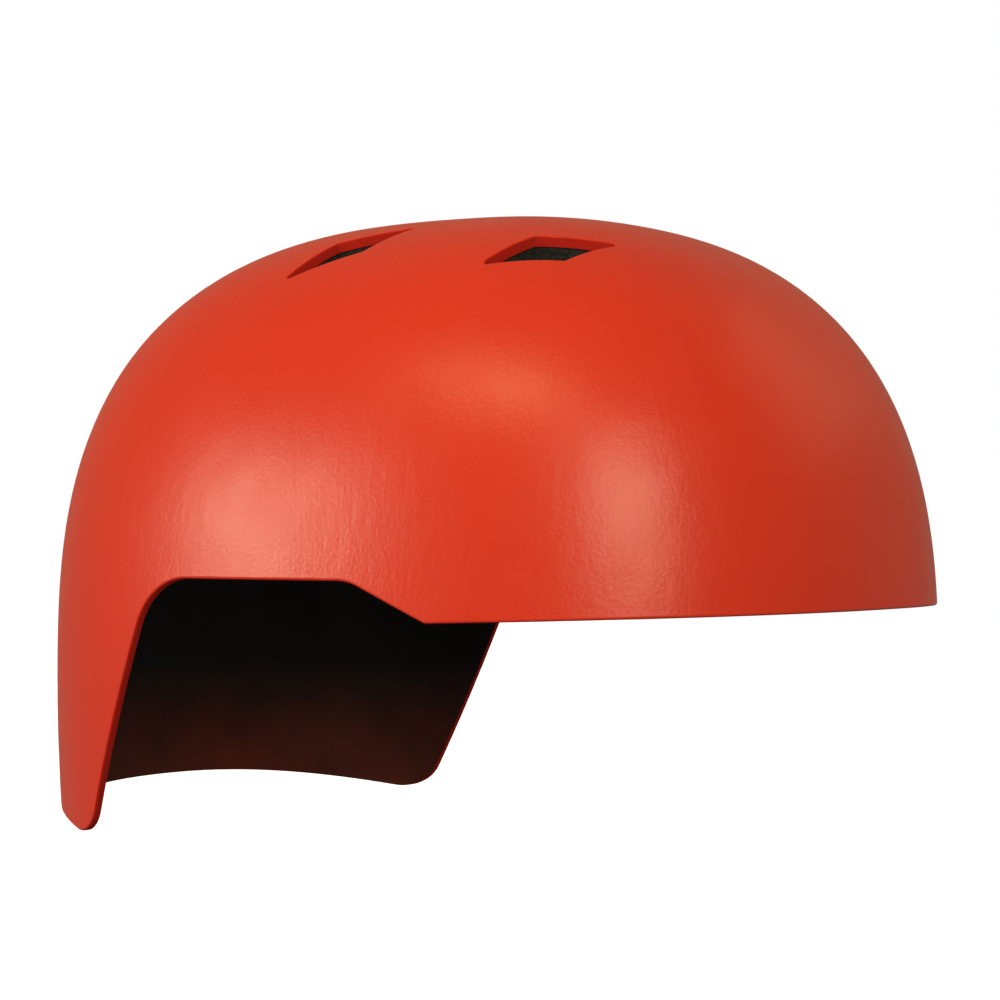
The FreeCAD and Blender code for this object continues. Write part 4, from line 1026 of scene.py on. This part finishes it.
class HELMET_OT_stage(bpy.types.Operator):
    """Set the floor, the lights and the camera"""

    bl_idname = "helmet.stage"
    bl_label = "Stage"

    def execute(self, context):
        stage = context.scene.helmet_stage
        self.add_camera(context, stage)
        self.add_floor(stage)
        self.add_room(context, stage)
        for light in LIGHTS:
            area_light(*light)
        return {"FINISHED"}

    def add_camera(self, context, stage):
        """The camera, from its place round the helmet and its small turn and tilt."""
        back = Vector((math.sin(stage.azimuth), -math.cos(stage.azimuth), 0.0))
        facing_angle, pitch = stage.azimuth + stage.yaw, stage.pitch
        forward = Vector((-math.sin(facing_angle) * math.cos(pitch),
                          math.cos(facing_angle) * math.cos(pitch), math.sin(pitch)))
        right = Vector((math.cos(facing_angle), math.sin(facing_angle), 0.0))
        up = right.cross(forward)
        data = bpy.data.cameras.new("camera")
        data.lens, data.sensor_width = stage.lens, 36.0
        camera = bpy.data.objects.new("camera", data)
        context.collection.objects.link(camera)
        turn = Matrix((right, up, -forward)).transposed().to_4x4()
        camera.matrix_world = Matrix.Translation(
            back * stage.distance + Vector((0, 0, stage.height))) @ turn
        context.scene.camera = camera

    def add_floor(self, stage):
        """White paper far below the helmet, seen only by the camera."""
        level = CAD_BOX[0][2] - stage.floor_drop
        bpy.ops.mesh.primitive_plane_add(size=stage.floor_size, location=(0, 0, level))
        floor = bpy.context.object
        floor.name = "floor"
        material, _, _, shader = new_material("floor_paper")
        shader.inputs["Base Color"].default_value = (0.9, 0.9, 0.9, 1.0)
        shader.inputs["Roughness"].default_value = 1.0
        shader.inputs["Emission Color"].default_value = WHITE
        shader.inputs["Emission Strength"].default_value = 1.0
        floor.data.materials.append(material)
        floor.visible_diffuse = False
        floor.visible_glossy = False

    def add_room(self, context, stage):
        """White paper behind the helmet, and a dimmer room that lights it."""
        world = bpy.data.worlds.new("studio")
        world.use_nodes = True
        nodes, links = world.node_tree.nodes, world.node_tree.links
        paper = nodes["Background"]
        paper.inputs["Color"].default_value = WHITE
        room = nodes.new("ShaderNodeBackground")
        room.inputs["Strength"].default_value = stage.surround
        split = nodes.new("ShaderNodeSeparateXYZ")
        links.new(nodes.new("ShaderNodeTexCoord").outputs["Generated"], split.inputs[0])
        rise = map_range(nodes, links, split.outputs[2], *HORIZON)
        links.new(mix_colour(nodes, links, rise, ROOM_BELOW, ROOM_ABOVE), room.inputs["Color"])
        choice = nodes.new("ShaderNodeMixShader")
        links.new(nodes.new("ShaderNodeLightPath").outputs["Is Camera Ray"], choice.inputs[0])
        links.new(room.outputs[0], choice.inputs[1])
        links.new(paper.outputs[0], choice.inputs[2])
        links.new(choice.outputs[0], nodes["World Output"].inputs["Surface"])
        context.scene.world = world
        context.scene.view_settings.view_transform = "Standard"


# ---------------------------------------------------------------- panel and registration

class HELMET_PT_panel(bpy.types.Panel):
    """The helmet's operators"""

    bl_idname = "HELMET_PT_panel"
    bl_label = "Helmet"
    bl_space_type = "VIEW_3D"
    bl_region_type = "UI"
    bl_category = "Helmet"

    def draw(self, context):
        for operator in OPERATORS:
            self.layout.operator(operator.bl_idname)


OPERATORS = (HELMET_OT_stage, HELMET_OT_shell, HELMET_OT_foam, HELMET_OT_hardware,
             HELMET_OT_pads, HELMET_OT_strap)
SETTINGS = {"helmet_paint": HelmetPaint, "helmet_trim": HelmetTrim, "helmet_pads": HelmetPads,
            "helmet_strap": HelmetStrap, "helmet_stage": HelmetStage}
CLASSES = (*SETTINGS.values(), *OPERATORS, HELMET_PT_panel)


def register():
    """Makes the operators, the panel and the settings known."""
    for item in CLASSES:
        bpy.utils.register_class(item)
    for name, group in SETTINGS.items():
        setattr(bpy.types.Scene, name, bpy.props.PointerProperty(type=group))


def unregister():
    """Takes them away again."""
    for name in SETTINGS:
        delattr(bpy.types.Scene, name)
    for item in reversed(CLASSES):
        bpy.utils.unregister_class(item)


def main():
    """Builds the whole scene."""
    register()
    bpy.ops.helmet.stage()
    bpy.ops.helmet.shell()
    bpy.ops.helmet.foam()
    bpy.ops.helmet.hardware()
    bpy.ops.helmet.pads()
    bpy.ops.helmet.strap()
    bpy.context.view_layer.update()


if __name__ == "__main__":
    main()
